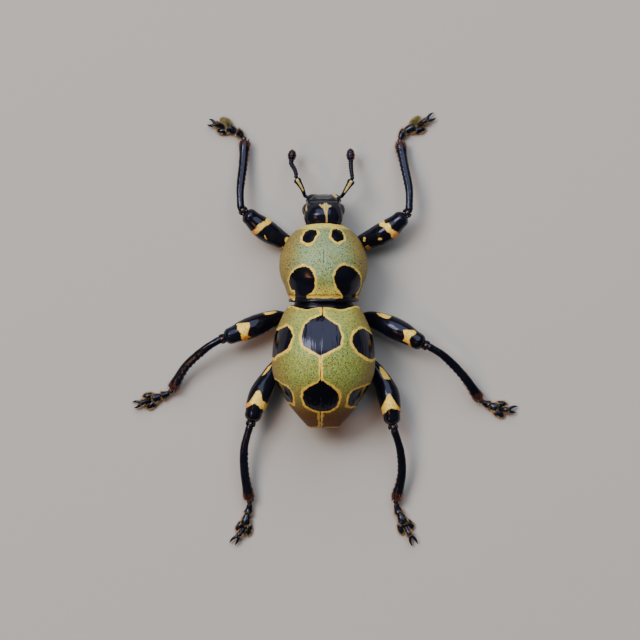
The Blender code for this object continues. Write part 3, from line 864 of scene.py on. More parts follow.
class CoatTree(NamedTree):
    """The node tree that sows one coat over a skin and makes it real.

    The skin says where: spread is above 0 where the coat grows, lie is the way the items point,
    and unwrap and pigment go with each root.
    """

    NAME = "coat"
    NUMBERS = (
        "Spacing", "Most", "Lean", "Lean Jitter", "Turn Jitter",
        "Smallest", "Largest", "Sink", "Reach", "Pit Size",
    )
    INPUTS = dict.fromkeys(NUMBERS, "Float") | {"Seed": "Int", "Item": "Object"}
    PATCH = 0.0015
    SOWN_PAST_EDGE = 0.06
    CROWD = 6.0

    def named(self, n: Nodes, name: str, kind: str = "FLOAT_VECTOR") -> NodeSocket:
        """Reads one of the skin's attributes."""
        return n.out("GeometryNodeInputNamedAttribute", {"Name": name}, data_type=kind)

    def chance(self, n: Nodes, low: object, high: object, seed: object) -> NodeSocket:
        """A random number for each root."""
        return n.add("FunctionNodeRandomValue", {2: low, 3: high, "Seed": seed}, data_type="FLOAT").outputs[1]

    def either_way(self, n: Nodes, most: NodeSocket, seed: object) -> NodeSocket:
        """A random number for each root, up to the most to either side of 0."""
        return self.chance(n, n.math("MULTIPLY", most, -1.0), most, seed)

    def fill(self, n: Nodes, given: NodeOutputs) -> NodeSocket:
        """Sows the roots, turns an item on each, and maps the real items to their roots' place.

        Args:
            n: the helper on the empty tree.
            given: the tree's inputs.

        Returns:
            The real coat.
        """
        seed, spread, lie = given["Seed"], self.named(n, "spread", "FLOAT"), self.named(n, "lie")
        sown = n.add(
            "GeometryNodeDistributePointsOnFaces",
            {
                "Mesh": given["Geometry"],
                "Distance Min": given["Spacing"],
                "Density Max": given["Most"],
                "Density Factor": n.math("GREATER_THAN", spread, -self.SOWN_PAST_EDGE),
                "Seed": seed,
            },
            distribute_method="POISSON",
        )
        reach = n.vector("SCALE", {0: n.vector("NORMALIZE", {0: lie}), "Scale": given["Reach"]})
        middle = n.vector("ADD", {0: n.out("GeometryNodeInputPosition", {}), 1: reach})
        pits = n.add("ShaderNodeTexVoronoi", {"Vector": middle, "Scale": PIT_SCALE}).outputs["Distance"]
        off_pits = n.math("GREATER_THAN", pits, given["Pit Size"])
        on_rim = n.math("LESS_THAN", spread, (RIM_LOW + RIM_HIGH) / 2)
        kept = n.math("MULTIPLY", n.math("MAXIMUM", off_pits, on_rim), n.math("GREATER_THAN", spread, 0.0))
        turn = sown.outputs["Rotation"]
        for way, axis, pivot in ((sown.outputs["Normal"], "Z", "AUTO"), (lie, "Y", "Z")):
            aligned = {"Rotation": turn, "Vector": way}
            turn = n.out("FunctionNodeAlignRotationToVector", aligned, axis=axis, pivot_axis=pivot)
        nod = self.either_way(n, given["Lean Jitter"], n.math("ADD", seed, 3.0))
        lift = n.math("ADD", given["Lean"], nod)
        twist = self.either_way(n, given["Turn Jitter"], n.math("ADD", seed, 5.0))
        for about in ({"Z": twist}, {"X": lift}):
            angles = n.out("FunctionNodeEulerToRotation", {0: n.out("ShaderNodeCombineXYZ", about)})
            turned = {"Rotation": turn, "Rotate By": angles}
            turn = n.out("FunctionNodeRotateRotation", turned, rotation_space="LOCAL")
        item = n.add("GeometryNodeObjectInfo", {"Object": given["Item"]}, transform_space="ORIGINAL")
        depth = n.math("MULTIPLY", given["Sink"], -1.0)
        down = n.vector("SCALE", {0: sown.outputs["Normal"], "Scale": depth})
        sunk = n.out("GeometryNodeSetPosition", {"Geometry": sown.outputs["Points"], "Offset": down})
        size = self.chance(n, given["Smallest"], given["Largest"], n.math("ADD", seed, 7.0))
        standing = {"Points": sunk, "Selection": kept, "Instance": item.outputs["Geometry"]}
        grown = n.out("GeometryNodeInstanceOnPoints", {**standing, "Rotation": turn, "Scale": size})
        own = self.chance(n, 0.0, 1.0, n.math("ADD", seed, 11.0))
        marked = {0: grown, "Name": "chance", "Value": own}
        kept_chance = n.out("GeometryNodeStoreNamedAttribute", marked, data_type="FLOAT", domain="INSTANCE")
        real = n.out("GeometryNodeRealizeInstances", {0: kept_chance})
        leaf, unwrap = self.named(n, "leaf"), self.named(n, "unwrap")
        patch = n.vector("MULTIPLY_ADD", {0: leaf, 1: (self.PATCH,) * 3, 2: unwrap})
        mapped = {0: real, "Name": UNWRAP_MAP, "Value": patch}
        return n.out("GeometryNodeStoreNamedAttribute", mapped, data_type="FLOAT2", domain="CORNER")

    def grow(
        self, name: str, skin: Mesh, shape: FlakeShape, growth: Growth, finish: Material
    ) -> Mesh:
        """Sows a coat over a copy of the skin.

        Args:
            name: the coat's name.
            skin: the mesh that carries spread, lie, unwrap and pigment.
            shape: what grows.
            growth: how it stands.
            finish: its material.

        Returns:
            The coat alone, as a plain mesh.
        """
        pattern = link(f"{name}_item", flake_mesh(shape, growth))
        values = {
            "Spacing": growth.spacing * MM,
            "Most": self.CROWD / (growth.spacing * MM) ** 2,
            "Lean": math.radians(growth.lean),
            "Lean Jitter": math.radians(growth.lean_jitter),
            "Turn Jitter": math.radians(growth.turn_jitter),
            "Smallest": growth.size_low,
            "Largest": growth.size_high,
            "Sink": growth.sink * MM,
            "Reach": growth.length * MM / 2,
            "Pit Size": BARE_PIT if growth.pitted else -1.0,
            "Seed": growth.seed,
            "Item": pattern,
            "Finish": finish,
        }
        mesh = self.run(name, skin.copy(), values)
        bpy.data.objects.remove(pattern, do_unlink=True)
        for key in ("leaf", "unwrap", "lie", "spread"):
            if key in mesh.attributes:
                mesh.attributes.remove(mesh.attributes[key])
        return mesh

    def sow(
        self, name: str, grounds: list[Mesh], shape: FlakeShape, growth: Growth,
        finish: Material, slot: Slot,
    ) -> None:
        """Sows one coat over several grounds, which are used up, as one piece of the scene."""
        place(name, self.grow(name, joined(name, grounds), shape, growth, finish), finish, slot)


# Limbs


@dataclass
class Route:
    """The line of a limb, with a forward, a side and a top direction at each of its points."""

    points: Array
    t: Array

    def __post_init__(self) -> None:
        """Works out the directions and the length so far."""
        ahead = np.gradient(self.points, axis=0)
        self.ahead = ahead / np.linalg.norm(ahead, axis=1, keepdims=True)
        top = np.array([0, 0, 1.0]) - self.ahead * self.ahead[:, 2:3]
        self.top = top / np.linalg.norm(top, axis=1, keepdims=True)
        self.side = np.cross(self.ahead, self.top)
        steps = np.linalg.norm(np.diff(self.points, axis=0), axis=1)
        self.run = np.concatenate([[0], np.cumsum(steps)])

    @classmethod
    def through(
        cls, knots: Sequence[Point | Array], count: int = 60, lead: Array | None = None, lead_count: int = 8
    ) -> "Route":
        """A smooth line.

        Args:
            knots: the points that it goes through.
            count: how many points it gets.
            lead: a point that it comes from in a straight line, before its parameter's 0.
            lead_count: how many points that stretch gets.

        Returns:
            The route.
        """
        even = np.linspace(0, 1, count)
        t = 0.6 * (1 - np.cos(math.pi * even)) / 2 + 0.4 * even
        points = smooth_line(knots, t)
        if lead is not None:
            start = np.array(lead, float)
            share = np.linspace(0, 1, lead_count, endpoint=False)
            length = np.linalg.norm(np.diff(points, axis=0), axis=1).sum()
            points = np.vstack([start + (points[0] - start) * share[:, None], points])
            t = np.concatenate([(share - 1) * np.linalg.norm(points[lead_count] - start) / length, t])
        return cls(points, t)


def tube(route: Route, radius: Curve, flat: float = 1.0, sides: int = 28, ends: Flat = (0.12, 0.12)) -> Grid:
    """A limb of round or flattened section with rounded ends.

    Args:
        route: its line.
        radius: its half width along the route's parameter.
        flat: its height as a share of its width.
        sides: how many points go round it.
        ends: the length over which each end rounds off.

    Returns:
        The grid, whose first column lies at the side and goes on over the top.
    """
    turn = circle(sides)[None, :, None]
    share = np.ones(len(route.t))
    for gone, length in ((route.run, ends[0]), (route.run[-1] - route.run, ends[1])):
        share = share * np.sqrt(np.maximum(1 - (1 - np.clip(gone / length, 0, 1)) ** 2, 0.0025))
    reach = (radius(route.t) * share)[:, None, None]
    ring = np.cos(turn) * route.side[:, None] + flat * np.sin(turn) * route.top[:, None]
    grid = Grid(route.points[:, None] + reach * ring)
    grid.values["lie"] = np.broadcast_to(route.ahead[:, None], grid.points.shape).copy()
    return grid


def turned_axes(yaw: float) -> Array:
    """Forward, side and up directions, turned by yaw about the vertical from the head's direction."""
    ahead = np.array([-math.sin(yaw), math.cos(yaw), 0.0])
    return np.stack([ahead, np.array([ahead[1], -ahead[0], 0.0]), np.array([0.0, 0.0, 1.0])])


def ball(centre: Point | Array, radii: Point, axes: Array, rings: int = 24, sides: int = 30) -> Grid:
    """An ellipsoid with its poles along the first axis.

    Args:
        centre: its middle.
        radii: its radii along the three axes.
        axes: the three directions, one a row.
        rings: how many rings it has.
        sides: how many points go round it.

    Returns:
        The grid.
    """
    polar = np.linspace(math.pi, 0, rings + 2)[1:-1, None]
    turn = circle(sides)[None]
    flat = np.sin(polar)
    local = np.stack([np.cos(polar) + 0 * turn, flat * np.cos(turn), flat * np.sin(turn)], axis=-1)
    return Grid(np.asarray(centre) + (local * radii) @ axes)


def muted(share: float) -> Colour:
    """The bone tone, darkened towards the lacquer by a share."""
    return tuple(mixed(np.array(TONES.bone), TONES.lacquer, np.array(share)))


def dress(grid: Grid, spread: Array, tone: Colour, edge: Colour, rim: float = 0.12) -> None:
    """Gives a grid its coat's extent, lie and pigment.

    Args:
        grid: the grid.
        spread: the distance inside the edge of the scales.
        tone: the scales' colour.
        edge: their colour along the edge.
        rim: how wide the edge is.
    """
    flat = np.broadcast_to(tone, (*spread.shape, 3))
    grid.values["spread"] = spread
    grid.values["pigment"] = as_colour(mixed(flat, edge, 0.6 * rise(rim, 0.0, spread)))
    if "lie" not in grid.values:
        grid.values["lie"] = np.gradient(grid.points, axis=0)


# The trunk


def node_points(node: str) -> Array:
    """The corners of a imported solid, in millimetres.

    Args:
        node: its name.

    Returns:
        One row for each corner.
    """
    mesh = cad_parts[node].data
    flat = np.empty(len(mesh.vertices) * 3, np.float32)
    mesh.vertices.foreach_get("co", flat)
    return np.unique(np.round(flat.reshape(-1, 3).astype(float) / MM, 3), axis=0)


def node_rings(node: str, least: int = 14) -> list[Array]:
    """The flat rings that a trunk solid is lofted through.

    Args:
        node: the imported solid's name.
        least: how many points a ring has at least; what a cut left has fewer.

    Returns:
        The points of each ring, from the back of the body to the front.
    """
    points = node_points(node)
    points = points[np.argsort(points[:, 1])]
    breaks = np.flatnonzero(np.diff(points[:, 1]) > 0.004) + 1
    return [ring for ring in np.split(points, breaks) if len(ring) >= least]


def eased(curve: Curve, blur: float) -> Curve:
    """The curve with its small unevenness smoothed away, but not near its ends.

    Args:
        curve: the curve to smooth.
        blur: how far along it the smoothing reaches.

    Returns:
        The smooth curve.
    """
    start, end = curve.places[0], curve.places[-1]
    places = np.linspace(start, end, 160)
    values = curve(places)
    reach = np.arange(-12, 13)
    weights = np.exp(-((reach * (places[1] - places[0]) / blur) ** 2))
    padded = np.pad(values, 12, mode="reflect", reflect_type="odd")
    soft = np.convolve(padded, weights / weights.sum(), mode="valid")
    share = rise(0.15, 0.9, np.minimum(places - start, end - places))
    return Curve(list(zip(places, values + (soft - values) * share)))


@dataclass
class Barrel:
    """A body along Y with a superellipse section, widest at its level.

    above and below are the section's powers, 2 being round and more squarer. The chart's X is the distance
    from the middle plane as seen from above, and past the widest line it goes on down the flank.
    """

    width: Curve
    top: Curve
    level: Curve
    bottom: Curve
    above: float
    below: float
    flank: float = 1.8
    lean: Curve | None = None

    def __post_init__(self) -> None:
        """Notes where the body starts and ends."""
        self.front, self.back = float(self.width.places[-1]), float(self.width.places[0])

    @classmethod
    def measured(cls, node: str, above: float, below: float, blur: float = 0.22, **more: object) -> "Barrel":
        """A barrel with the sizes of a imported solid.

        Args:
            node: the solid's name.
            above: the power of the section's upper half.
            below: that of its lower half.
            blur: the length along the body over which small unevenness is smoothed away.
            more: the barrel's other fields.

        Returns:
            The barrel.
        """
        width, top, level, bottom = [], [], [], []
        for ring in node_rings(node):
            y = float(ring[:, 1].mean())
            off = np.abs(ring[:, 0] - BODY_AXIS)
            widest = off >= off.max() - 0.002
            width.append((y, float(off.max())))
            top.append((y, float(ring[:, 2].max())))
            level.append((y, float(ring[widest, 2].mean())))
            if (off < 0.08 * off.max() + 0.02).sum() > 1:
                bottom.append((y, float(ring[:, 2].min())))
        curves = [eased(Curve(stations), blur) for stations in (width, top, level, bottom)]
        return cls(*curves, above, below, **more)

    def surface(self, y: Array, turn: Array) -> Array:
        """The surface point at each place along the body and turn round it, where 90 degrees is the top.

        Args:
            y: the places along the body.
            turn: the turns round it.

        Returns:
            The points.
        """
        across, up = np.cos(turn), np.sin(turn)
        width, level = self.width(y), self.level(y)
        power = np.where(up >= 0, 2 / self.above, 2 / self.below)
        reach = np.where(up >= 0, self.top(y) - level, level - self.bottom(y))
        x = BODY_AXIS + width * powered(across, power) + self.shift(y, up)
        z = level + reach * powered(up, power)
        return np.stack([x, y, z], axis=-1)

    def shift(self, y: Array, up: Array) -> Array:
        """How far the top leans sideways."""
        return self.lean(y) * np.clip(up, 0, 1) ** 2 if self.lean else np.zeros_like(y)

    def chart(self, y: Array, turn: Array) -> Array:
        """The chart's X at each place.

        Args:
            y: the places along the body.
            turn: the turns round it.

        Returns:
            The X.
        """
        across, up = np.cos(turn), np.sin(turn)
        width = self.width(y)
        seen = width * powered(across, (2 / self.above)) + self.shift(y, up)
        below = np.arcsin(np.clip(-up, 0, 1)) / (math.pi / 2)
        return np.where(up >= 0, seen, np.copysign(width + below * self.flank, across))

    def turns(self, count: int, fine: Sequence[float] = (), coarse: float = 0.45) -> Array:
        """Turns that part the middle ring evenly, starting below, with a few more close to the top.

        Args:
            count: how many even turns.
            fine: distances from the middle line, in millimetres, where extra turns go.
            coarse: how closely the underside is parted, as a share.

        Returns:
            The turns from -90 degrees round to just short of it again.
        """
        dense = np.linspace(-math.pi / 2, 3 * math.pi / 2, 4001)
        middle = np.full_like(dense, (self.front + self.back) / 2)
        ring = self.surface(middle, dense)
        stretch = np.where(np.sin(dense[1:]) > -0.5, 1.0, coarse)
        length = np.concatenate([[0], np.cumsum(np.linalg.norm(np.diff(ring, axis=0), axis=1) * stretch)])
        even = np.interp(np.linspace(0, length[-1], count, endpoint=False), length, dense)
        if not fine:
            return even
        width = float(self.width(middle[0]))
        offsets = [sign * math.asin((off / width) ** (self.above / 2)) for off in fine for sign in (-1, 1)]
        close = np.abs(even - math.pi / 2) < max(offsets) * 1.15
        return np.sort(np.concatenate([even[~close], [math.pi / 2], math.pi / 2 + np.array(offsets)]))

    def grid(self, places: Array, turns: Array) -> tuple[Grid, Array, Array]:
        """The surface as a grid.

        Args:
            places: the rings' places along Y.
            turns: the turns round each.

        Returns:
            The grid, and the chart's X and Y at each of its points.
        """
        y, turn = np.meshgrid(places, turns, indexing="ij")
        return Grid(self.surface(y, turn)), self.chart(y, turn), y


def edged(
    grid: Grid, tint: Array, spread: Array, rim: float, share: Array | float, rusty: Array | float
) -> Array:
    """Colours with a ragged gold rim, and a thin rust line at its very edge.

    Args:
        grid: the grid that they belong to.
        tint: the colours.
        spread: the distance inside the edge of the scales.
        rim: how wide the rim is.
        share: how strong it is.
        rusty: how strong the rust line is.

    Returns:
        The colours with their rim.
    """
    ragged = spread - swells(grid.points, RIM_SWELLS)
    tint = mixed(tint, TONES.gold, share * rise(rim, rim * RIM_FADE, ragged))
    return mixed(tint, TONES.rust, share * rusty * rise(*RUST_LINE, ragged))


def ring_places(start: float, end: float, count: int) -> Array:
    """Places from start to end that crowd together towards both ends.

    Args:
        start: the first place.
        end: the last place.
        count: how many places.

    Returns:
        The places.
    """
    t = (1 - np.cos(np.linspace(0, math.pi, count))) / 2
    t = 0.55 * t + 0.45 * np.linspace(0, 1, count)
    return start + (end - start) * t


@dataclass
class ScaledDome:
    """A dome of the trunk with black spots and edges, under a coat of scales in two halves."""

    node: str
    spots: tuple[tuple[Flat, ...], ...]
    margin_below: float
    rim: float
    rings: int
    sides: int
    seed: int
    combed: bool
    edge_swells: tuple[Point, ...]
    # Where the flanks turn tan: a painted colour shift of glancing views.
    flank_tan: Flat
    front_edge: float = 0.05
    scale_depth: float = 0.014

    def covered(self, x: Array, y: Array, from_back: Array) -> Array:
        """How far inside the edge of the scales a place of the chart lies.

        Args:
            x: the chart's X.
            y: the place along the body.
            from_back: the distance from the rear edge.

        Returns:
            The signed distance on the chart.
        """
        charted = np.minimum(self.dome.width(y) + self.margin_below - np.abs(x), from_back)
        charted = np.minimum(charted, self.dome.front - self.front_edge - y)
        for outline in self.spots:
            charted = np.minimum(charted, -outline_distance(x, y, softened(outline)))
        return charted

    def build(self, finishes: Finishes, coats: CoatTree) -> None:
        """Makes the shell and its two halves of scales.

        Args:
            finishes: the materials.
            coats: the tree that sows the scales.
        """
        self.lay_out()
        skin = self.grid.mesh(f"{self.node}_shell")
        growth = replace(SCALE_GROWTH, seed=self.seed)
        for side in Side:
            half = self.grid.points[..., 0] * side.value > (BODY_AXIS * side.value)
            ground = self.grid.only("half", np.where(half, self.grid.values["spread"], -1.0))
            name = f"{self.node}_scales_{side.word}"
            coat = coats.grow(name, ground, FlakeShape.SCALE, growth, finishes.flakes)
            place(name, coat, finishes.flakes, Slot.SCALED)
        lacquer = finishes.shell if self.combed else finishes.patched
        place(f"{self.node}_shell", skin, lacquer, Slot.SCALED, [self.node])


WING_SPOTS = {
    "middle": ((-0.08, 1.06), (0.46, 0.66), (1.05, 0.30), (1.24, -0.38), (1.17, -1.05), (0.55, -1.38),
               (-0.22, -1.76), (-0.85, -1.36), (-1.44, -1.02), (-1.49, -0.40), (-1.32, 0.38), (-0.68, 0.86)),
    "rear": ((-0.24, -3.30), (0.10, -3.58), (0.52, -3.80), (1.00, -4.28), (1.10, -4.72), (0.88, -5.22),
             (0.48, -5.50), (-0.24, -5.58), (-0.80, -5.42), (-1.24, -5.14), (-1.46, -4.58), (-1.34, -4.10),
             (-0.74, -3.74), (-0.44, -3.60)),
    "side_left": ((-3.10, 0.02), (-2.50, 0.32), (-2.20, 0.04), (-2.08, -0.38), (-2.24, -0.76), (-2.42, -1.24),
                  (-2.70, -1.46), (-3.12, -1.66), (-3.40, -1.92), (-3.80, -1.72), (-4.02, -1.0),
                  (-3.84, -0.3), (-3.42, -0.05)),
    "side_right": ((1.99, -0.38), (2.32, 0.05), (2.68, 0.16), (3.05, -0.06), (3.34, -0.30), (3.80, -0.4),
                   (4.02, -1.0), (3.84, -1.72), (3.40, -1.96), (3.16, -2.00), (2.82, -1.80), (2.40, -1.54),
                   (2.14, -1.18), (1.95, -0.80)),
    "hind_left": ((-3.30, -3.36), (-3.0, -3.56), (-2.36, -3.96), (-2.16, -4.28), (-2.09, -4.68),
                  (-2.10, -5.02), (-2.42, -4.90), (-3.00, -5.10), (-4.20, -4.90), (-4.40, -3.40),
                  (-3.70, -3.28)),
    "hind_right": ((3.34, -3.60), (3.08, -3.74), (2.52, -3.92), (2.02, -4.12), (1.80, -4.36),
                   (1.70, -4.70), (1.66, -5.08), (1.84, -5.24), (2.20, -5.18), (2.90, -5.30),
                   (4.20, -4.90), (4.40, -3.50), (3.70, -3.42)),
}


@dataclass
class WingCases(ScaledDome):
    """The fused elytra: a dome with a closed suture, rows of fine striae and six black spots."""

    node: str = "elytra"
    spots: tuple[tuple[Flat, ...], ...] = tuple(WING_SPOTS.values())
    margin_below: float = 0.62
    rim: float = 0.18
    rings: int = 190
    sides: int = 240
    seed: int = 11
    combed: bool = True
    edge_swells: tuple[Point, ...] = ((0.022, 0.30, 3.1), (0.010, 0.12, 8.7))
    flank_tan: Flat = (0.55, 0.98)
    # Painted warm light: where the wing cases turn tan towards the tail.
    rear_tan: Flat = (-3.0, -4.8)
    # Painted shade: where the tip darkens to amber.
    tip_amber: Flat = (-4.1, -6.0)
    tip_rim: Flat = (-4.6, -6.3)
    suture: Curve = Curve([(1.62, -0.05), (0.0, -0.10), (-2.5, -0.19), (-6.71, -0.22)])
    suture_line: float = 0.030
    suture_groove: float = 0.045
    suture_closed: float = -2.1
    back_edge: float = 0.04
    striae: int = 10
    stria_depth: float = 0.010
    spot_stria: float = 0.5

    def lay_out(self) -> None:
        """Makes the grid, its markings and its relief."""
        self.dome = Barrel.measured("elytra", 2.15, 3.2, lean=self.suture)
        front, back = self.dome.front, self.dome.back
        turns = self.dome.turns(self.sides, (0.02, 0.04, 0.065, 0.10))
        self.grid, x, y = self.dome.grid(ring_places(front, back, self.rings), turns)
        from_suture = np.abs(x - self.suture(y))
        parted = 0.1 + 0.9 * rise(0.0, 0.9, np.abs(y - self.suture_closed))
        line = self.suture_line * parted * (1 + 0.5 * rise(0.6, 1.1, y))
        charted = np.minimum(self.covered(x, y, y - back - self.back_edge), from_suture - line)
        spread = self.grid.true_distance(charted)
        spread += swells(self.grid.points, self.edge_swells)
        self.colour(x, y, spread, rise(0.05, 0.25, from_suture + parted - 0.1))
        whole = np.abs(x) / self.dome.width(y)
        rows = np.cos(2 * math.pi * np.clip(whole * 0.96 + 0.02, 0, 1) * self.striae)
        upper = rise(1.15, 0.95, whole) * rise(0.0, 0.5, front - y) * rise(0.0, 0.8, y - back)
        on_scales = rise(-0.1, 0.1, spread)
        worn = self.spot_stria + (1 - self.spot_stria) * on_scales
        relief = -self.stria_depth * rise(0.0, 1.0, rows) * upper * worn
        groove = self.suture_groove * hump(from_suture, 0.03) * upper * parted
        relief = relief - groove * (0.25 + 0.75 * on_scales)
        self.grid.push(relief + self.scale_depth * rise(*SCALE_STEP, spread))
        bow = 0.10 * hump(np.abs(x) - 2.2, 0.25) - 0.16 * hump(np.abs(x) - 1.15, 0.5)
        self.grid.points[..., 1] += bow * rise(front - 0.9, front, y) * rise(-0.2, 0.3, spread + 0.3)
        outward = np.stack([0.12 * np.sign(x), np.zeros_like(x), np.zeros_like(x)], axis=-1)
        self.grid.values["lie"] = np.array(TAILWARD) + outward

    def colour(self, x: Array, y: Array, spread: Array, off_closed: Array) -> None:
        """Lays the scales' colours: green above, gold along edges, and painted light: a bluish front middle
        for cool light, tan flanks for the colour shift of glancing views, tan towards the tail for warm
        light, a dark amber tip for shade.

        Args:
            x: the chart's X.
            y: the place along the body.
            spread: the distance inside the edge of the scales.
            off_closed: 0 where the suture is closed, where no rust line parts its two rims.
        """
        side = np.abs(x) / self.dome.width(y)
        tint = np.broadcast_to(TONES.green, (*x.shape, 3))
        # Painted cool light: the front middle is tinted sky green for the cool light that falls from the
        # head's side.
        tint = mixed(tint, TONES.sky_green, 0.28 * (rise(-1.0, 1.2, y) * rise(1.0, 0.3, side)))
        tint = mixed(tint, TONES.front_yellow, 0.22 * rise(-0.2, 1.1, y) * rise(1.0, 0.6, side))
        # Painted sheen: the flanks turn tan, the colour that the scales shift to at a glancing angle, laid on
        # as fixed colour.
        tint = mixed(tint, TONES.tan, 0.85 * rise(*self.flank_tan, side))
        # Painted warm light: the rear turns tan for the warm light from the tail's side.
        tint = mixed(tint, TONES.tan, 0.6 * rise(*self.rear_tan, y))
        # Painted shade: the tip darkens to amber, standing for the shade and the warm light that fall on it.
        tint = mixed(tint, TONES.amber, 0.97 * rise(*self.tip_amber, y))
        rusty = (0.30 + 0.35 * rise(-0.5, -4.5, y)) * off_closed
        share = 0.95 * (1 - 0.45 * rise(*self.tip_rim, y))
        tint = edged(self.grid, tint, spread, self.rim, share, rusty)
        self.grid.values["spread"] = spread
        self.grid.values["pigment"] = as_colour(tint)


PROTHORAX_SPOTS = {
    "front_left": ((-1.25, 6.76), (-0.92, 6.89), (-0.68, 6.88), (-0.42, 6.76), (-0.44, 6.53), (-0.59, 6.35),
                   (-0.66, 6.16), (-0.92, 5.96), (-1.19, 5.97), (-1.46, 6.11), (-1.42, 6.41),
                   (-1.31, 6.59)),
    "front_right": ((0.57, 6.83), (0.86, 6.94), (1.16, 6.82), (1.29, 6.71), (1.40, 6.41), (1.39, 6.16),
                    (1.16, 6.11), (0.98, 6.00), (0.68, 6.16), (0.53, 6.41), (0.54, 6.65)),
    "rear_left": ((-1.33, 4.42), (-1.92, 4.20), (-2.26, 3.84), (-2.38, 3.43), (-2.34, 3.10), (-2.16, 2.70),
                  (-1.98, 2.50), (-1.98, 1.80), (-1.14, 1.80), (-1.14, 2.42), (-0.78, 2.60), (-0.60, 2.92),
                  (-0.57, 3.48), (-0.70, 3.96), (-0.98, 4.30)),
    "rear_right": ((1.45, 4.50), (1.92, 4.37), (2.32, 4.02), (2.55, 3.66), (2.56, 3.12), (2.40, 2.72),
                   (2.22, 2.50), (2.22, 1.80), (1.32, 1.80), (1.32, 2.42), (0.94, 2.86), (0.80, 3.25),
                   (0.72, 3.66), (0.86, 4.10), (1.14, 4.38)),
}


@dataclass
class Prothorax(ScaledDome):
    """The first ring of the thorax: a barrel with four black spots and a black rim behind."""

    node: str = "prothorax"
    spots: tuple[tuple[Flat, ...], ...] = tuple(PROTHORAX_SPOTS.values())
    margin_below: float = 1.05
    rim: float = 0.15
    rings: int = 150
    sides: int = 230
    seed: int = 23
    combed: bool = False
    edge_swells: tuple[Point, ...] = ((0.022, 0.28, 5.3), (0.010, 0.12, 1.7))
    flank_tan: Flat = (0.45, 0.9)
    rear_green: Flat = (4.3, 3.0)
    corners: tuple[tuple[Flat, ...], ...] = (
        ((-2.19, 2.75), (-1.95, 2.75), (-1.96, 2.08), (-2.15, 2.08)),
        ((2.25, 2.58), (2.52, 2.58), (2.48, 2.20), (2.30, 2.20)),
    )
    groove_line: float = 0.03
    groove_half_width: float = 0.022
    groove_depth: float = 0.04
    groove_span: tuple[float, float] = (4.6, 5.5)
    base_bar: tuple[float, float] = (2.18, 2.42)
    front_arch: float = 0.16
    front_rim: float = 0.36

    def lay_out(self) -> None:
        """Makes the grid, its markings and its relief."""
        self.dome = Barrel.measured("prothorax", 2.1, 2.1, blur=0.12)
        front = self.dome.front
        turns = self.dome.turns(self.sides, (0.025, 0.05, 0.08))
        self.grid, x, y = self.dome.grid(ring_places(front, self.dome.back, self.rings), turns)
        arched = 1 - np.clip(np.abs(x) / self.dome.width(y), 0, 1) ** 2
        self.grid.points[..., 1] += self.front_arch * (arched - 0.5) * rise(front - 1.1, front, y)
        charted = self.covered(x, y, y - self.base_bar[0])
        for corner in self.corners:
            charted = np.maximum(charted, outline_distance(x, y, softened(corner)))
        spread = self.grid.true_distance(charted)
        spread += swells(self.grid.points, self.edge_swells)
        self.colour(x, y, spread)
        past = np.maximum(np.maximum(self.groove_span[0] - y, y - self.groove_span[1]), 0)
        from_groove = np.hypot(x - self.groove_line, past)
        relief = self.scale_depth * rise(*SCALE_STEP, spread) - self.groove_depth * hump(from_groove, 0.05)
        self.grid.push(relief)
        self.grid.values["spread"] = np.minimum(spread, from_groove - self.groove_half_width)
        self.grid.values["lie"] = np.broadcast_to(TAILWARD, self.grid.points.shape)

    def colour(self, x: Array, y: Array, spread: Array) -> None:
        """Lays the scales' colours: sky green in the middle, tan down the flanks as a painted colour shift of
        glancing views, gold along every edge.

        Args:
            x: the chart's X.
            y: the place along the body.
            spread: the distance inside the edge of the scales.
        """
        side = np.abs(x) / self.dome.width(y)
        tint = np.broadcast_to(TONES.sky_green, (*x.shape, 3))
        tint = mixed(tint, TONES.green, 0.75 * rise(*self.rear_green, y))
        # Painted sheen: the flanks turn tan, the colour that the scales shift to at a glancing angle, laid on
        # as fixed colour.
        tint = mixed(tint, TONES.tan, 0.85 * rise(*self.flank_tan, side))
        front = rise(self.front_rim, self.front_rim * 0.6, self.dome.front - self.front_edge - y)
        tint = mixed(tint, TONES.front_yellow, 0.92 * front)
        tint = mixed(tint, TONES.gold, 0.45 * rise(3.4, 2.7, y) * rise(1.2, 0.7, np.abs(x)))
        tint = edged(self.grid, tint, spread, self.rim, 0.95, 0.35)
        bar = rise(self.base_bar[1] + 0.04, self.base_bar[1] - 0.02, y)
        tint = mixed(tint, TONES.gold, bar)
        tint = mixed(tint, TONES.rust, 0.75 * bar * rise(0.0, 0.4, wobble(self.grid.points, 0.22, 2.9)))
        tint = mixed(tint, TONES.amber, 0.85 * hump(y - self.base_bar[1] - 0.01, 0.04))
        self.grid.values["pigment"] = as_colour(tint)


def barrel_middle(turn: Array) -> Array:
    """How far a turn is from straight down, in radians."""
    return np.abs(np.mod(turn + math.pi / 2 + math.pi, 2 * math.pi) - math.pi)


# Thorax and abdomen under the wing cases


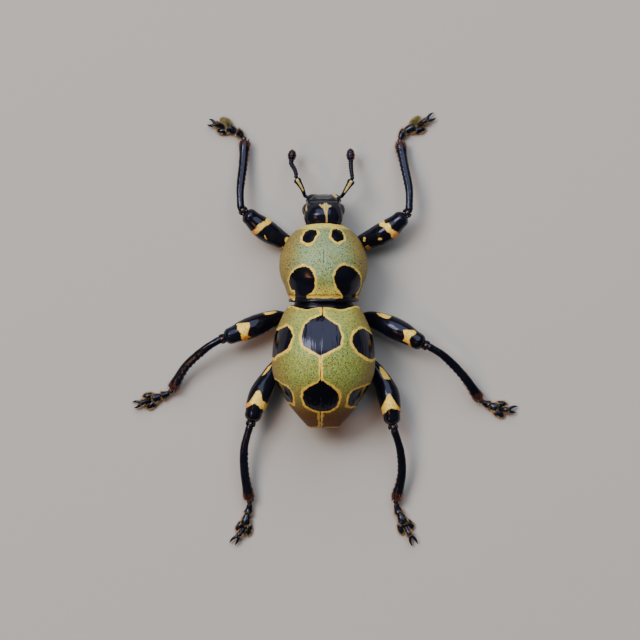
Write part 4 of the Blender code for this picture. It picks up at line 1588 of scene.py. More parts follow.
@dataclass
class Underbody:
    """The neck of the waist, the rear thorax and the belly with its five plates."""

    ventrite_sutures: tuple[float, ...] = (-3.15, -4.35, -4.85, -5.35)
    suture_depth: float = 0.07
    suture_reach: float = 0.055
    mid_groove: float = 0.05
    neck: tuple[float, float] = (2.6, 1.0)
    neck_half_width: float = 2.02
    neck_top: float = 4.92
    neck_bottom: float = 1.62
    margin: tuple[Flat, ...] = ((1.62, 1.65), (-2.0, 1.4), (-5.0, 1.3), (-6.71, 1.27))
    breast_width: tuple[Flat, ...] = ((1.66, 1.93), (0.6, 2.5), (-0.5, 2.9), (-1.45, 3.08), (-1.95, 3.05))
    breast_bottom: tuple[Flat, ...] = ((1.66, 0.45), (0.8, 0.13), (-0.5, 0.0), (-1.45, 0.03), (-1.95, 0.12))
    belly_width: tuple[Flat, ...] = (
        (-1.55, 3.10), (-2.9, 3.02), (-3.9, 2.66), (-4.8, 2.18), (-5.5, 1.65), (-6.0, 1.15), (-6.3, 0.72),
    )
    belly_bottom: tuple[Flat, ...] = (
        (-1.55, 0.01), (-3.0, 0.03), (-4.4, 0.17), (-5.4, 0.39), (-6.0, 0.59), (-6.3, 0.73),
    )
    tuck: float = 0.25
    rings: int = 120
    sides: int = 150

    def shape(self, width: tuple[Flat, ...], bottom: tuple[Flat, ...], share: float) -> Barrel:
        """A plate whose top is tucked up inside the wing cases.

        Args:
            width: its half width along the body.
            bottom: its lowest line above the belly line.
            share: where it is widest, from 0 at its bottom to 1 at its solid's top.

        Returns:
            The barrel.
        """
        places = [place for place, _ in width]
        low, margin = Curve(bottom), Curve(self.margin)
        level = [low(y) + share * (margin(y) - 0.3 - low(y)) + BELLY for y in places]
        top = [float(margin(y)) + self.tuck + BELLY for y in places]
        floor = [(y, float(low(y)) + BELLY) for y in places]
        top, level = Curve(list(zip(places, top))), Curve(list(zip(places, level)))
        return Barrel(Curve(width), top, level, Curve(floor), 5.0, 2.0)

    def plate(
        self, node: str, name: str, barrel: Barrel, finishes: Finishes, coats: CoatTree, marks: Callable
    ) -> None:
        """Makes one lower plate over its solid, with the scaled patches on its flanks.

        Args:
            node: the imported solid.
            name: the piece's name.
            barrel: its shape.
            finishes: the materials.
            coats: the tree that sows the scales.
            marks: gives the patches' chart distance and the relief from the chart's X and Y and the turns.
        """
        places = ring_places(barrel.front, barrel.back, self.rings)
        turns = barrel.turns(self.sides, coarse=1.0)
        grid, x, y = barrel.grid(places, turns)
        charted, relief = marks(barrel, x, y, np.broadcast_to(turns, x.shape))
        spread = grid.true_distance(charted) + 0.03 * wobble(grid.points, 0.3, 2.0)
        grid.push(relief)
        dress(grid, spread, TONES.cream, TONES.gold)
        growth = replace(SCALE_GROWTH, seed=31 + len(node))
        coat = coats.grow(f"{name}_scales", grid.mesh(name), FlakeShape.SCALE, growth, finishes.flakes)
        place(f"{name}_scales", coat, finishes.flakes, Slot.SCALED)
        place(name, grid.mesh(name), finishes.patched, Slot.BLACK, [node])

    def belly(self, barrel: Barrel, x: Array, y: Array, turn: Array) -> tuple[Array, Array]:
        """Patches along the sides of the belly plates, and the grooves between the plates.

        Args:
            barrel: the plate's shape.
            x: the chart's X.
            y: the place along the body.
            turn: the turns round it, which the belly has no use for.

        Returns:
            The patches' distance and the relief.
        """
        below = np.abs(x) - barrel.width(y)
        relief = np.zeros_like(x)
        for suture in self.ventrite_sutures:
            bowed = y - suture + 0.16 * (1 - (x / 4.2) ** 2)
            relief = relief - self.suture_depth * hump(bowed, self.suture_reach)
        charted = np.full(x.shape, -9.0)
        edges = (barrel.front, *self.ventrite_sutures[:2], self.ventrite_sutures[3])
        for front, back in zip(edges, edges[1:]):
            middle, half = (front + back) / 2, (front - back) / 2
            radius = min(0.36, half * 0.62)
            charted = np.maximum(charted, radius - np.hypot((y - middle) * 0.8, below - 0.42))
        return charted, relief

    def breast(self, barrel: Barrel, x: Array, y: Array, turn: Array) -> tuple[Array, Array]:
        """A patch behind each middle hip on the side of the breast, and its sutures.

        Args:
            barrel: the plate's shape.
            x: the chart's X.
            y: the place along the body.
            turn: the turns round it.

        Returns:
            The patch's distance and the relief.
        """
        below = np.abs(x) - barrel.width(y)
        outline = softened(((1.1, 0.1), (-1.1, 0.16), (-1.2, 0.5), (-0.2, 0.62), (0.9, 0.4)))
        along = outline_distance(y, below, outline)
        relief = -0.05 * hump(below - 0.72, 0.045) - self.mid_groove * hump(barrel_middle(turn), 0.05)
        relief = relief - 0.06 * hump(y + 0.62, 0.06) * rise(0.9, 1.3, below)
        return along, relief

    def build(self, finishes: Finishes, coats: CoatTree) -> None:
        """Makes the waist, the breast and the belly.

        Args:
            finishes: the materials.
            coats: the tree that sows the scales.
        """
        front, back = self.neck
        level = (self.neck_top + self.neck_bottom) / 2
        sizes = [Curve([(back, size), (front, size)]) for size in
                 (self.neck_half_width, self.neck_top, level, self.neck_bottom)]
        neck = Barrel(*sizes, 2.2, 2.4)
        grid, _, y = neck.grid(np.linspace(front, back, 40), neck.turns(120))
        grid.push(0.05 * np.cos((y - 1.77) / 0.085 * math.pi) * rise(1.6, 1.7, y))
        place("waist", grid.mesh("waist"), finishes.bare, Slot.BLACK)
        breast = self.shape(self.breast_width, self.breast_bottom, 0.72)
        belly = self.shape(self.belly_width, self.belly_bottom, 0.7)
        self.plate("pterothorax", "breast", breast, finishes, coats, self.breast)
        self.plate("abdomen", "belly", belly, finishes, coats, self.belly)


# The head


@dataclass
class Head:
    """The head and its short stout snout, with eyes, jaws and the pale mark on the forehead."""

    stations: tuple[tuple[float, float, float, float, float], ...] = (
        (7.10, 2.80, 7.16, 1.05, 1.16),
        (7.58, 3.03, 7.58, 0.77, 1.32),
        (8.02, 3.05, 7.84, 0.57, 1.34),
        (8.48, 2.77, 8.02, 0.48, 1.30),
        (8.84, 2.25, 8.18, 0.41, 1.25),
        (9.11, 1.65, 8.34, 0.32, 1.18),
        (9.29, 1.10, 8.52, 0.20, 1.12),
        (9.35, 0.67, 8.70, 0.07, 1.03),
        (9.27, 0.38, 8.86, 0.03, 0.72),
        (9.16, 0.28, 8.94, 0.08, 0.40),
    )
    marks: tuple[tuple[Flat, ...], ...] = (
        ((-0.37, 8.61), (-0.19, 8.68), (-0.10, 8.57), (0.02, 8.70), (0.19, 8.78), (0.26, 8.63), (0.62, 8.55),
         (0.56, 8.42), (0.35, 8.33), (0.31, 8.03), (0.32, 7.73), (0.29, 7.10), (0.16, 7.10), (0.11, 7.73),
         (0.05, 8.03), (-0.04, 8.27), (-0.22, 8.41)),
        ((-1.28, 8.64), (-1.16, 8.64), (-1.07, 8.30), (-1.08, 8.10), (-1.23, 8.12), (-1.30, 8.40)),
        ((1.42, 8.64), (1.54, 8.62), (1.64, 8.30), (1.52, 8.08), (1.40, 8.20)),
        ((0.50, 9.28), (0.66, 9.36), (0.80, 9.22), (0.97, 9.14), (0.92, 9.00), (0.72, 9.08), (0.58, 9.17)),
    )
    overhang: float = 0.04
    eye_place: Point = (1.20, 8.24, 1.55)
    eye_radii: Point = (0.27, 0.42, 0.46)
    jaw_place: Point = (0.25, 9.02, 0.14)
    jaw_radii: Point = (0.30, 0.30, 0.24)
    scape_root: Point = (1.02, 9.12, 0.95)
    rings: int = 150
    sides: int = 170
    level: float = 0.5
    above: float = 2.4
    below: float = 2.3

    def lay_out(self) -> None:
        """Makes the capsule with its chart, relief and marks."""
        along = np.linspace(0, 1, self.rings)
        rows = smooth_line(self.stations, along)
        turn = np.linspace(-math.pi / 2, 3 * math.pi / 2, self.sides, endpoint=False)[None]
        across, up = np.cos(turn), np.sin(turn)
        power = np.where(up >= 0, 2 / self.above, 2 / self.below)
        top, bottom, width = rows[:, 0:2], rows[:, 2:4], rows[:, 4:5]
        middle = (top + bottom)[:, None] * self.level
        reach = np.where(up[..., None] >= 0, (top[:, None] - middle), (middle - bottom[:, None]))
        section = middle + reach * (powered(up, power))[..., None]
        x = width * powered(across, power)
        points = np.stack([BODY_AXIS + x, section[..., 0], section[..., 1] + BELLY], axis=-1)
        self.grid = Grid(points)
        down = np.arcsin(np.clip(-up, 0, 1)) / (math.pi / 2)
        seen = np.where(up >= 0, x, np.copysign(width + 1.2 * down, across))
        y = points[..., 1]
        self.carve(x, np.broadcast_to(along[:, None], x.shape), np.broadcast_to(up, x.shape))
        charted = np.full(x.shape, -9.0)
        for mark in self.marks:
            charted = np.maximum(charted, outline_distance(seen, y, softened(mark)) - self.overhang)
        charted = np.where(up > -0.6, charted, -1.0)
        spread = self.grid.true_distance(charted) + 0.014 * wobble(self.grid.points, 0.15, 4.0)
        dress(self.grid, spread, muted(0.48), TONES.hair_orange, 0.05)

    def carve(self, x: Array, along: Array, up: Array) -> None:
        """Presses in the forehead groove, the snout's hollow, the feeler grooves and the eye rims.

        Args:
            x: the distance from the middle plane.
            along: the place along the head, from 0 to 1.
            up: the height round the section, from -1 to 1.
        """
        points = self.grid.points
        over = rise(0.2, 0.6, up)
        snout = rise(0.50, 0.56, along) * rise(0.84, 0.76, along)
        relief = -0.09 * hump(x, 0.42) * snout * over
        relief = relief - 0.07 * hump(along - 0.475, 0.022) * rise(1.1, 0.7, np.abs(x)) * over
        relief = relief + 0.05 * hump(np.abs(x) - 0.62, 0.16) * snout * over
        slit = rise(0.50, 0.55, along) * rise(0.70, 0.64, along)
        relief = relief - 0.03 * hump(x - 0.03, 0.03) * slit * over
        for side in Side:
            from_root = np.linalg.norm(points - self.beside(self.scape_root, side), axis=-1)
            relief = relief + 0.10 * hump(from_root - 0.26, 0.10) - 0.12 * hump(from_root, 0.17)
            slot_line = np.abs((points[..., 2] - BELLY - 0.62 - 0.55 * (points[..., 1] - 8.6)) * 0.9)
            outer = rise(0.55, 0.8, x * side.value)
            outer = outer * rise(8.25, 8.5, points[..., 1]) * rise(9.15, 9.0, points[..., 1])
            relief = relief - 0.09 * hump(slot_line, 0.11) * outer
            from_eye = np.linalg.norm((points - self.beside(self.eye_place, side)) / self.eye_radii, axis=-1)
            relief = relief - 0.05 * hump(from_eye - 1.12, 0.09)
        self.grid.push(relief + 0.006 * wobble(points, 0.35, 6.0))

    def beside(self, place_of: Point, side: Side) -> Array:
        """A point above the floor from one measured from the middle plane and the belly line."""
        x, y, z = place_of
        return np.array([BODY_AXIS + side.value * x, y, BELLY + z])

    def jaws(self) -> list[Grid]:
        """The two short jaws at the snout's tip.

        Returns:
            The grid of each jaw.
        """
        made = []
        for side in Side:
            centre = self.beside(self.jaw_place, side)
            axes = turned_axes(side.value * -0.55)
            jaw = ball(centre, self.jaw_radii, axes, 20, 24)
            local = (jaw.points - centre) @ axes.T
            jaw.push(-0.05 * hump(local[..., 1] * side.value, 0.10) * rise(0.0, 0.2, local[..., 0]))
            made.append(jaw)
        return made

    def build(self, finishes: Finishes, coats: CoatTree) -> None:
        """Makes the head, its scales, its jaws and its eyes.

        Args:
            finishes: the materials.
            coats: the tree that sows the scales.
        """
        self.lay_out()
        ground = self.grid.mesh("head")
        coat = coats.grow("head_scales", ground, FlakeShape.SCALE, SCALE_GROWTH, finishes.flakes)
        place("head_scales", coat, finishes.flakes, Slot.SCALED)
        place("head_capsule", self.grid.mesh("head_capsule"), finishes.patched, Slot.BLACK, ["head"])
        jaws = joined("jaws", [jaw.mesh("jaw") for jaw in self.jaws()])
        place("jaws", jaws, finishes.bare, Slot.BLACK)
        facets = FacetTree()
        for side in Side:
            centre = self.beside(self.eye_place, side)
            lens = facets.make(f"eye_{side.word}_lens", centre, self.eye_radii, finishes.eye)
            place(f"eye_{side.word}_lens", lens, finishes.eye, Slot.EYE, [f"eye_{side.word}"])


class FacetTree(NamedTree):
    """The node tree that makes a compound eye: a round lens of small domed facets."""

    NAME = "compound_eye"
    INPUTS = {"Centre": "Vector", "Radii": "Vector", "Facet Rise": "Float"}
    FACET_RISE = 0.004

    def fill(self, n: Nodes, given: NodeOutputs) -> NodeSocket:
        """Makes the lens of cells and raises each as a small dome.

        Args:
            n: the helper on the empty tree.
            given: the tree's inputs.

        Returns:
            The real lens.
        """
        lens = n.out("GeometryNodeMeshIcoSphere", {"Radius": 1.0, "Subdivisions": 5})
        cells = n.out("GeometryNodeDualMesh", {0: lens})
        sized = {"Geometry": cells, "Translation": given["Centre"], "Scale": given["Radii"]}
        raised = n.add(
            "GeometryNodeExtrudeMesh",
            {
                "Mesh": n.out("GeometryNodeTransform", sized),
                "Offset Scale": given["Facet Rise"],
                "Individual": True,
            },
        )
        tops = {"Geometry": raised.outputs[0], "Selection": raised.outputs["Top"], "Scale": 0.72}
        return n.out("GeometryNodeRealizeInstances", {0: n.out("GeometryNodeScaleElements", tops)})

    def make(self, name: str, centre: Point, radii: Point, finish: Material) -> Mesh:
        """One eye.

        Args:
            name: the eye's name.
            centre: its middle, in millimetres.
            radii: its radii along X, Y and Z.
            finish: its material.

        Returns:
            The eye as a plain mesh.
        """
        values = {
            "Centre": [value * MM for value in centre],
            "Radii": [value * MM for value in radii],
            "Facet Rise": self.FACET_RISE * MM,
            "Finish": finish,
        }
        return self.run(name, bpy.data.meshes.new(name), values)


# Feelers


class BeadTree(NamedTree):
    """The node tree that strings beads along a line, each a little wider than the one before."""

    NAME = "bead_string"
    INPUTS = {"Beads": "Int", "Width": "Float", "Length": "Float", "Growth": "Float"}
    GROWTH = 0.22

    def fill(self, n: Nodes, given: NodeOutputs) -> NodeSocket:
        """Sets a bead on each point of the line, turned along it.

        Args:
            n: the helper on the empty tree.
            given: the tree's inputs.

        Returns:
            The real beads.
        """
        line = n.out("GeometryNodeMeshToCurve", {"Mesh": given["Geometry"]})
        spaced = n.out("GeometryNodeResampleCurve", {"Curve": line, "Count": given["Beads"]})
        ahead = {"Vector": n.out("GeometryNodeInputTangent", {})}
        along = n.add("GeometryNodeSplineParameter").outputs["Factor"]
        wide = n.math("MULTIPLY", given["Width"], n.math("MULTIPLY_ADD", along, given["Growth"], 1.0))
        strung = {
            "Points": spaced,
            "Instance": n.out("GeometryNodeMeshUVSphere", {"Segments": 22, "Rings": 14, "Radius": 1.0}),
            "Rotation": n.out("FunctionNodeAlignRotationToVector", ahead, axis="Z"),
            "Scale": n.out("ShaderNodeCombineXYZ", {"X": wide, "Y": wide, "Z": given["Length"]}),
        }
        real = n.out("GeometryNodeRealizeInstances", {0: n.out("GeometryNodeInstanceOnPoints", strung)})
        return n.out("GeometryNodeSetShadeSmooth", {0: real})

    def string(self, name: str, line: Array, count: int, size: Flat, finish: Material) -> Mesh:
        """A string of beads.

        Args:
            name: its name.
            line: the points of its line, in millimetres.
            count: how many beads.
            size: the first bead's radius across the line, and a bead's radius along it.
            finish: the material.

        Returns:
            The string as a plain mesh.
        """
        wire = bpy.data.meshes.new(name)
        wire.from_pydata((line * MM).tolist(), [(k, k + 1) for k in range(len(line) - 1)], [])
        width, length = size[0] * MM, size[1] * MM
        values = {"Beads": count, "Width": width, "Length": length, "Growth": self.GROWTH, "Finish": finish}
        return self.run(name, wire, values)


@dataclass(frozen=True)
class FeelerPlan:
    """The points of one elbowed feeler, from its root outward."""

    scape: tuple[Point, ...]
    funicle: tuple[Point, ...]
    club: tuple[Point, ...]


@dataclass
class Feelers:
    """The two feelers: a long first joint with pale scales, seven beads and a club of three rings."""

    plans: tuple[tuple[Side, FeelerPlan], ...] = (
        (Side.LEFT, FeelerPlan(
            ((-1.42, 9.2, 2.18), (-1.62, 9.75, 2.48), (-2.02, 10.42, 2.65)),
            ((-2.02, 10.7, 2.4), (-2.12, 11.02, 2.02), (-2.35, 11.42, 1.55)),
            ((-2.35, 11.62, 1.34), (-2.3, 12.02, 1.25), (-2.26, 12.42, 1.16)),
        )),
        (Side.RIGHT, FeelerPlan(
            ((1.12, 9.18, 2.18), (1.4, 9.62, 2.42), (1.84, 10.32, 2.65)),
            ((1.82, 10.6, 2.4), (1.77, 10.98, 2.02), (1.74, 11.4, 1.55)),
            ((1.74, 11.6, 1.34), (1.72, 12.04, 1.25), (1.71, 12.5, 1.16)),
        )),
    )
    scape_radius: Curve = Curve([(-0.2, 0.11), (0, 0.12), (0.3, 0.14), (0.7, 0.2), (0.93, 0.27), (1, 0.22)])
    club_radius: Curve = Curve([(0, 0.12), (0.2, 0.25), (0.5, 0.30), (0.8, 0.22), (1, 0.08)])
    club_rings: tuple[float, float] = (0.36, 0.64)
    bead_width: float = 0.145
    bead_length: float = 0.13
    beads: int = 7
    pale_span: tuple[float, float] = (0.36, 0.96)

    def build(self, finishes: Finishes, coats: CoatTree) -> None:
        """Makes both feelers.

        Args:
            finishes: the materials.
            coats: the tree that sows the scales.
        """
        string = BeadTree()
        skins, clubs = [], []
        for side, plan in self.plans:
            name = f"feeler_{side.word}"
            root = np.array(plan.scape[0]) + [-0.34 * side.value, -0.14, 0.0]
            route = Route.through(plan.scape, 60, root)
            scape = tube(route, self.scape_radius, sides=44, ends=(0.1, 0.18))
            t = route.t[:, None]
            low, high = self.pale_span
            facing = np.sin(circle(scape.points.shape[1]))[None]
            off_top = np.arccos(np.clip(facing, -1, 1)) * self.scape_radius(t)
            spread = 0.02 + 0.085 * t - off_top + 0.015 * wobble(scape.points, 0.18, 9.0)
            spread = np.minimum(spread, 1.2 * np.minimum(t - low, high - t))
            dress(scape, spread, muted(0.25), muted(0.6), 0.04)
            skins.append(scape.mesh("scape"))
            place(f"{name}_scape_skin", scape.mesh("scape"), finishes.patched, Slot.BLACK, [f"{name}_scape"])
            elbow, hinge = np.array(plan.scape[-1]), np.array(plan.funicle[0])
            bead_line = [elbow * 0.6 + hinge * 0.4, *plan.funicle, plan.club[0]]
            line = smooth_line(bead_line, np.linspace(0, 1, 60))
            size = (self.bead_width, self.bead_length)
            beads = string.string(f"{name}_beads", line, self.beads + 1, size, finishes.bare)
            place(f"{name}_beads", beads, finishes.bare, Slot.BLACK, [f"{name}_funicle"])
            reach = Route.through(plan.club, 50)
            club = tube(reach, self.club_radius, ends=(0.12, 0.2))
            notch = sum(hump(reach.t - ring, 0.03) for ring in self.club_rings)
            club.push(np.broadcast_to(-0.035 * notch[:, None], club.points.shape[:2]))
            club.values["spread"] = np.full(club.points.shape[:2], 0.1)
            clubs.append(club.mesh("club"))
            place(f"{name}_club_skin", club.mesh("club"), finishes.bare, Slot.BLACK, [f"{name}_club"])
        pale = replace(SCALE_GROWTH, spacing=0.045, length=0.09, width=0.04, pitted=False, seed=41)
        coats.sow("feeler_scales", skins, FlakeShape.SCALE, pale, finishes.flakes, Slot.SCALED)
        down = Growth(0.07, 0.09, 0.010, 32.0, 10.0, 25.0, seed=43)
        coats.sow("feeler_down", clubs, FlakeShape.BRISTLE, down, finishes.brown, Slot.BLACK)


# Legs


@dataclass(frozen=True)
class LegPlan:
    """Where one leg's joints lie, and the outlines of its thigh's patches as seen from above."""

    coxa: Point
    femur: tuple[Point, ...]
    tibia: tuple[Point, ...]
    foot: tuple[Point, ...]
    patches: tuple[tuple[Flat, ...], ...]


LEG_PLANS = {
    "front_left": LegPlan(
        (-0.88, 4.95, 0.98),
        ((-2.72, 6.0, 1.0), (-4.26, 6.97, 1.55), (-5.56, 8.1, 1.85)),
        ((-5.82, 8.34, 1.85), (-5.86, 9.7, 1.62), (-5.68, 11.3, 1.14), (-5.55, 13.0, 0.62)),
        ((-5.68, 13.28, 0.46), (-5.9, 13.52, 0.4), (-6.36, 13.72, 0.34), (-6.9, 13.96, 0.3),
         (-7.66, 14.18, 0.42), (-8.08, 14.32, 0.2)),
        (
            ((-4.81, 6.96), (-4.70, 7.12), (-4.55, 7.35), (-4.31, 7.46), (-4.09, 7.57), (-3.50, 8.25),
             (-3.00, 8.00), (-3.63, 7.46), (-3.70, 7.38), (-3.86, 7.29), (-4.09, 7.20), (-4.24, 7.04),
             (-4.43, 6.85), (-4.60, 6.66), (-4.74, 6.56), (-5.20, 5.95), (-5.50, 6.30)),
            ((-4.26, 6.66), (-4.12, 6.62), (-3.99, 6.30), (-4.06, 6.26), (-4.19, 6.44)),
            ((-2.79, 6.33), (-2.58, 6.50), (-2.41, 6.40), (-2.48, 6.19), (-2.72, 6.05), (-2.82, 6.16)),
            ((-3.34, 5.71), (-3.13, 5.64), (-2.86, 5.81), (-2.72, 5.78), (-2.92, 5.54), (-3.2, 5.54)),
        ),
    ),
    "front_right": LegPlan(
        (0.6, 4.95, 0.98),
        ((2.48, 5.98, 1.0), (4.1, 6.74, 1.55), (5.52, 7.92, 1.85)),
        ((5.74, 8.2, 1.85), (5.74, 9.7, 1.62), (5.42, 11.3, 1.14), (5.13, 12.86, 0.62)),
        ((5.1, 13.1, 0.48), (5.3, 13.5, 0.4), (5.68, 13.76, 0.34), (6.28, 14.02, 0.3),
         (7.0, 14.46, 0.42), (7.53, 14.79, 0.2)),
        (
            ((3.86, 7.32), (3.30, 7.90), (3.80, 8.10), (4.30, 7.37), (4.55, 7.43), (4.69, 7.24), (4.74, 7.02),
             (5.10, 6.80), (5.60, 6.10), (5.25, 5.80), (4.85, 6.30), (4.71, 6.41), (4.66, 6.69), (4.41, 6.85),
             (4.30, 7.05), (4.13, 7.13), (3.92, 7.18)),
            ((2.86, 6.12), (2.84, 6.40), (3.0, 6.50), (3.08, 6.30), (3.0, 6.10)),
            ((2.90, 5.80), (3.16, 5.92), (3.40, 5.72), (3.2, 5.50), (2.94, 5.54)),
            ((3.89, 6.26), (3.96, 6.45), (4.16, 6.44), (4.23, 6.28), (4.05, 6.22)),
        ),
    ),
    "middle_left": LegPlan(
        (-1.3, 0.3, 0.98),
        ((-3.3, 0.82, 1.0), (-5.15, 0.15, 1.7), (-6.98, -0.58, 2.05)),
        ((-7.24, -0.64, 2.05), (-8.3, -1.32, 1.82), (-9.62, -2.52, 1.3), (-10.54, -4.05, 0.62)),
        ((-10.72, -4.32, 0.48), (-11.1, -4.47, 0.4), (-11.52, -4.62, 0.34), (-12.0, -4.82, 0.3),
         (-12.76, -5.05, 0.42), (-13.24, -5.16, 0.2)),
        (
            ((-6.03, 0.36), (-5.92, 0.48), (-5.20, 0.50), (-5.18, 0.18), (-5.28, -0.20), (-5.26, -0.41),
             (-4.93, -0.51), (-5.23, -0.61), (-5.30, -1.30), (-5.75, -1.30), (-5.67, -0.67), (-5.76, -0.47),
             (-5.79, -0.20), (-5.99, 0.06)),
            ((-4.26, 1.17), (-4.15, 0.93), (-3.71, 1.02), (-3.12, 1.27), (-3.34, 1.31), (-3.82, 1.24)),
        ),
    ),
    "middle_right": LegPlan(
        (1.02, 0.3, 0.98),
        ((3.08, 0.74, 1.0), (4.98, 0.0, 1.7), (6.8, -1.02, 2.05)),
        ((7.05, -1.09, 2.05), (8.2, -1.84, 1.82), (9.5, -3.18, 1.3), (10.6, -4.74, 0.62)),
        ((10.78, -4.96, 0.48), (11.12, -5.1, 0.4), (11.48, -5.24, 0.34), (11.94, -5.42, 0.3),
         (12.62, -5.5, 0.42), (13.18, -5.44, 0.2)),
        (
            ((5.55, 0.00), (6.32, 0.00), (6.46, -0.19), (6.32, -0.34), (6.06, -0.52), (5.95, -0.74),
             (6.03, -1.04), (6.10, -1.70), (5.50, -1.60), (5.84, -1.04), (5.70, -0.89), (5.40, -0.78),
             (5.55, -0.67), (5.62, -0.56), (5.57, -0.23)),
            ((3.64, 1.20), (4.19, 1.13), (4.85, 0.91), (4.63, 0.65), (4.30, 0.72), (3.94, 0.91)),
        ),
    ),
    "hind_left": LegPlan(
        (-1.72, -1.6, 0.98),
        ((-3.2, -2.36, 0.98), (-4.14, -3.74, 1.6), (-4.74, -5.06, 1.95), (-5.1, -6.32, 2.05)),
        ((-5.2, -6.6, 2.05), (-5.58, -8.1, 1.72), (-5.56, -9.8, 1.22), (-5.24, -11.66, 0.62)),
        ((-5.2, -11.92, 0.48), (-5.28, -12.42, 0.4), (-5.42, -12.9, 0.34), (-5.56, -13.55, 0.3),
         (-6.02, -14.2, 0.42), (-6.43, -14.72, 0.2)),
        (
            ((-4.72, -4.30), (-4.41, -4.27), (-4.29, -4.55), (-4.21, -4.93), (-3.93, -5.06), (-3.30, -5.20),
             (-3.40, -5.80), (-4.13, -5.54), (-4.44, -5.38), (-4.52, -5.24), (-4.75, -5.15), (-4.98, -5.18),
             (-5.15, -5.29), (-5.90, -5.60), (-6.00, -5.20), (-5.21, -5.01), (-4.98, -4.78), (-4.84, -4.53)),
            ((-4.38, -3.38), (-4.22, -3.08), (-3.88, -2.62), (-3.63, -2.40), (-3.60, -2.52), (-3.76, -2.84),
             (-4.02, -3.14)),
        ),
    ),
    "hind_right": LegPlan(
        (1.44, -1.6, 0.98),
        ((3.04, -2.34, 0.98), (4.06, -3.8, 1.6), (4.46, -5.16, 1.95), (4.6, -6.55, 2.05)),
        ((4.7, -6.82, 2.05), (5.14, -8.3, 1.72), (5.24, -9.9, 1.22), (4.86, -11.66, 0.62)),
        ((4.84, -11.92, 0.48), (4.98, -12.4, 0.4), (5.2, -12.84, 0.34), (5.46, -13.45, 0.3),
         (5.86, -14.16, 0.42), (6.16, -14.79, 0.2)),
        (
            ((4.47, -4.46), (4.64, -4.52), (4.84, -4.86), (5.20, -5.30), (5.90, -5.60), (5.80, -6.00),
             (5.12, -5.51), (4.68, -5.43), (4.40, -5.55), (4.15, -5.79), (3.30, -6.30), (3.10, -5.80),
             (3.87, -5.51), (4.07, -5.15), (4.27, -4.86)),
            ((3.87, -2.55), (4.03, -2.56), (4.40, -3.00), (4.68, -3.49), (4.23, -3.57), (3.99, -3.13)),
        ),
    ),
}


@dataclass(frozen=True)
class LegSizes:
    """The sizes that all six legs share."""

    coxa_radii: Point = (0.62, 0.66, 0.52)
    socket_gap: float = 0.2
    femur: Curve = Curve([(-0.3, 0.2), (-0.12, 0.33), (-0.02, 0.29), (0.04, 0.36), (0.2, 0.44), (0.42, 0.62),
                          (0.62, 0.77), (0.76, 0.71), (0.87, 0.59), (0.95, 0.56), (1, 0.5)])
    tibia: Curve = Curve([(-0.1, 0.17), (0, 0.22), (0.03, 0.26), (0.12, 0.25), (0.4, 0.28), (0.8, 0.31),
                          (0.96, 0.38), (1, 0.33)])
    first_joint: Curve = Curve([(0, 0.16), (0.3, 0.21), (0.85, 0.33), (1, 0.27)])
    second_joint: Curve = Curve([(0, 0.17), (0.3, 0.22), (0.85, 0.36), (1, 0.30)])
    claw_joint: Curve = Curve([(0, 0.14), (0.2, 0.15), (0.85, 0.23), (1, 0.20)])
    claw: Curve = Curve([(0, 0.12), (0.3, 0.105), (0.7, 0.065), (1, 0.02)])
    spur: Curve = Curve([(0, 0.09), (0.5, 0.06), (1, 0.015)])
    lobe_radii: Point = (0.46, 0.27, 0.22)
    lobe_spread: float = 0.29
    lobe_height: float = 0.17
    lobe_turn: float = 0.35
    claw_spread: float = 0.2
    cheek_radii: Point = (0.19, 0.10, 0.18)
    teeth: int = 9
    overhang: float = 0.03


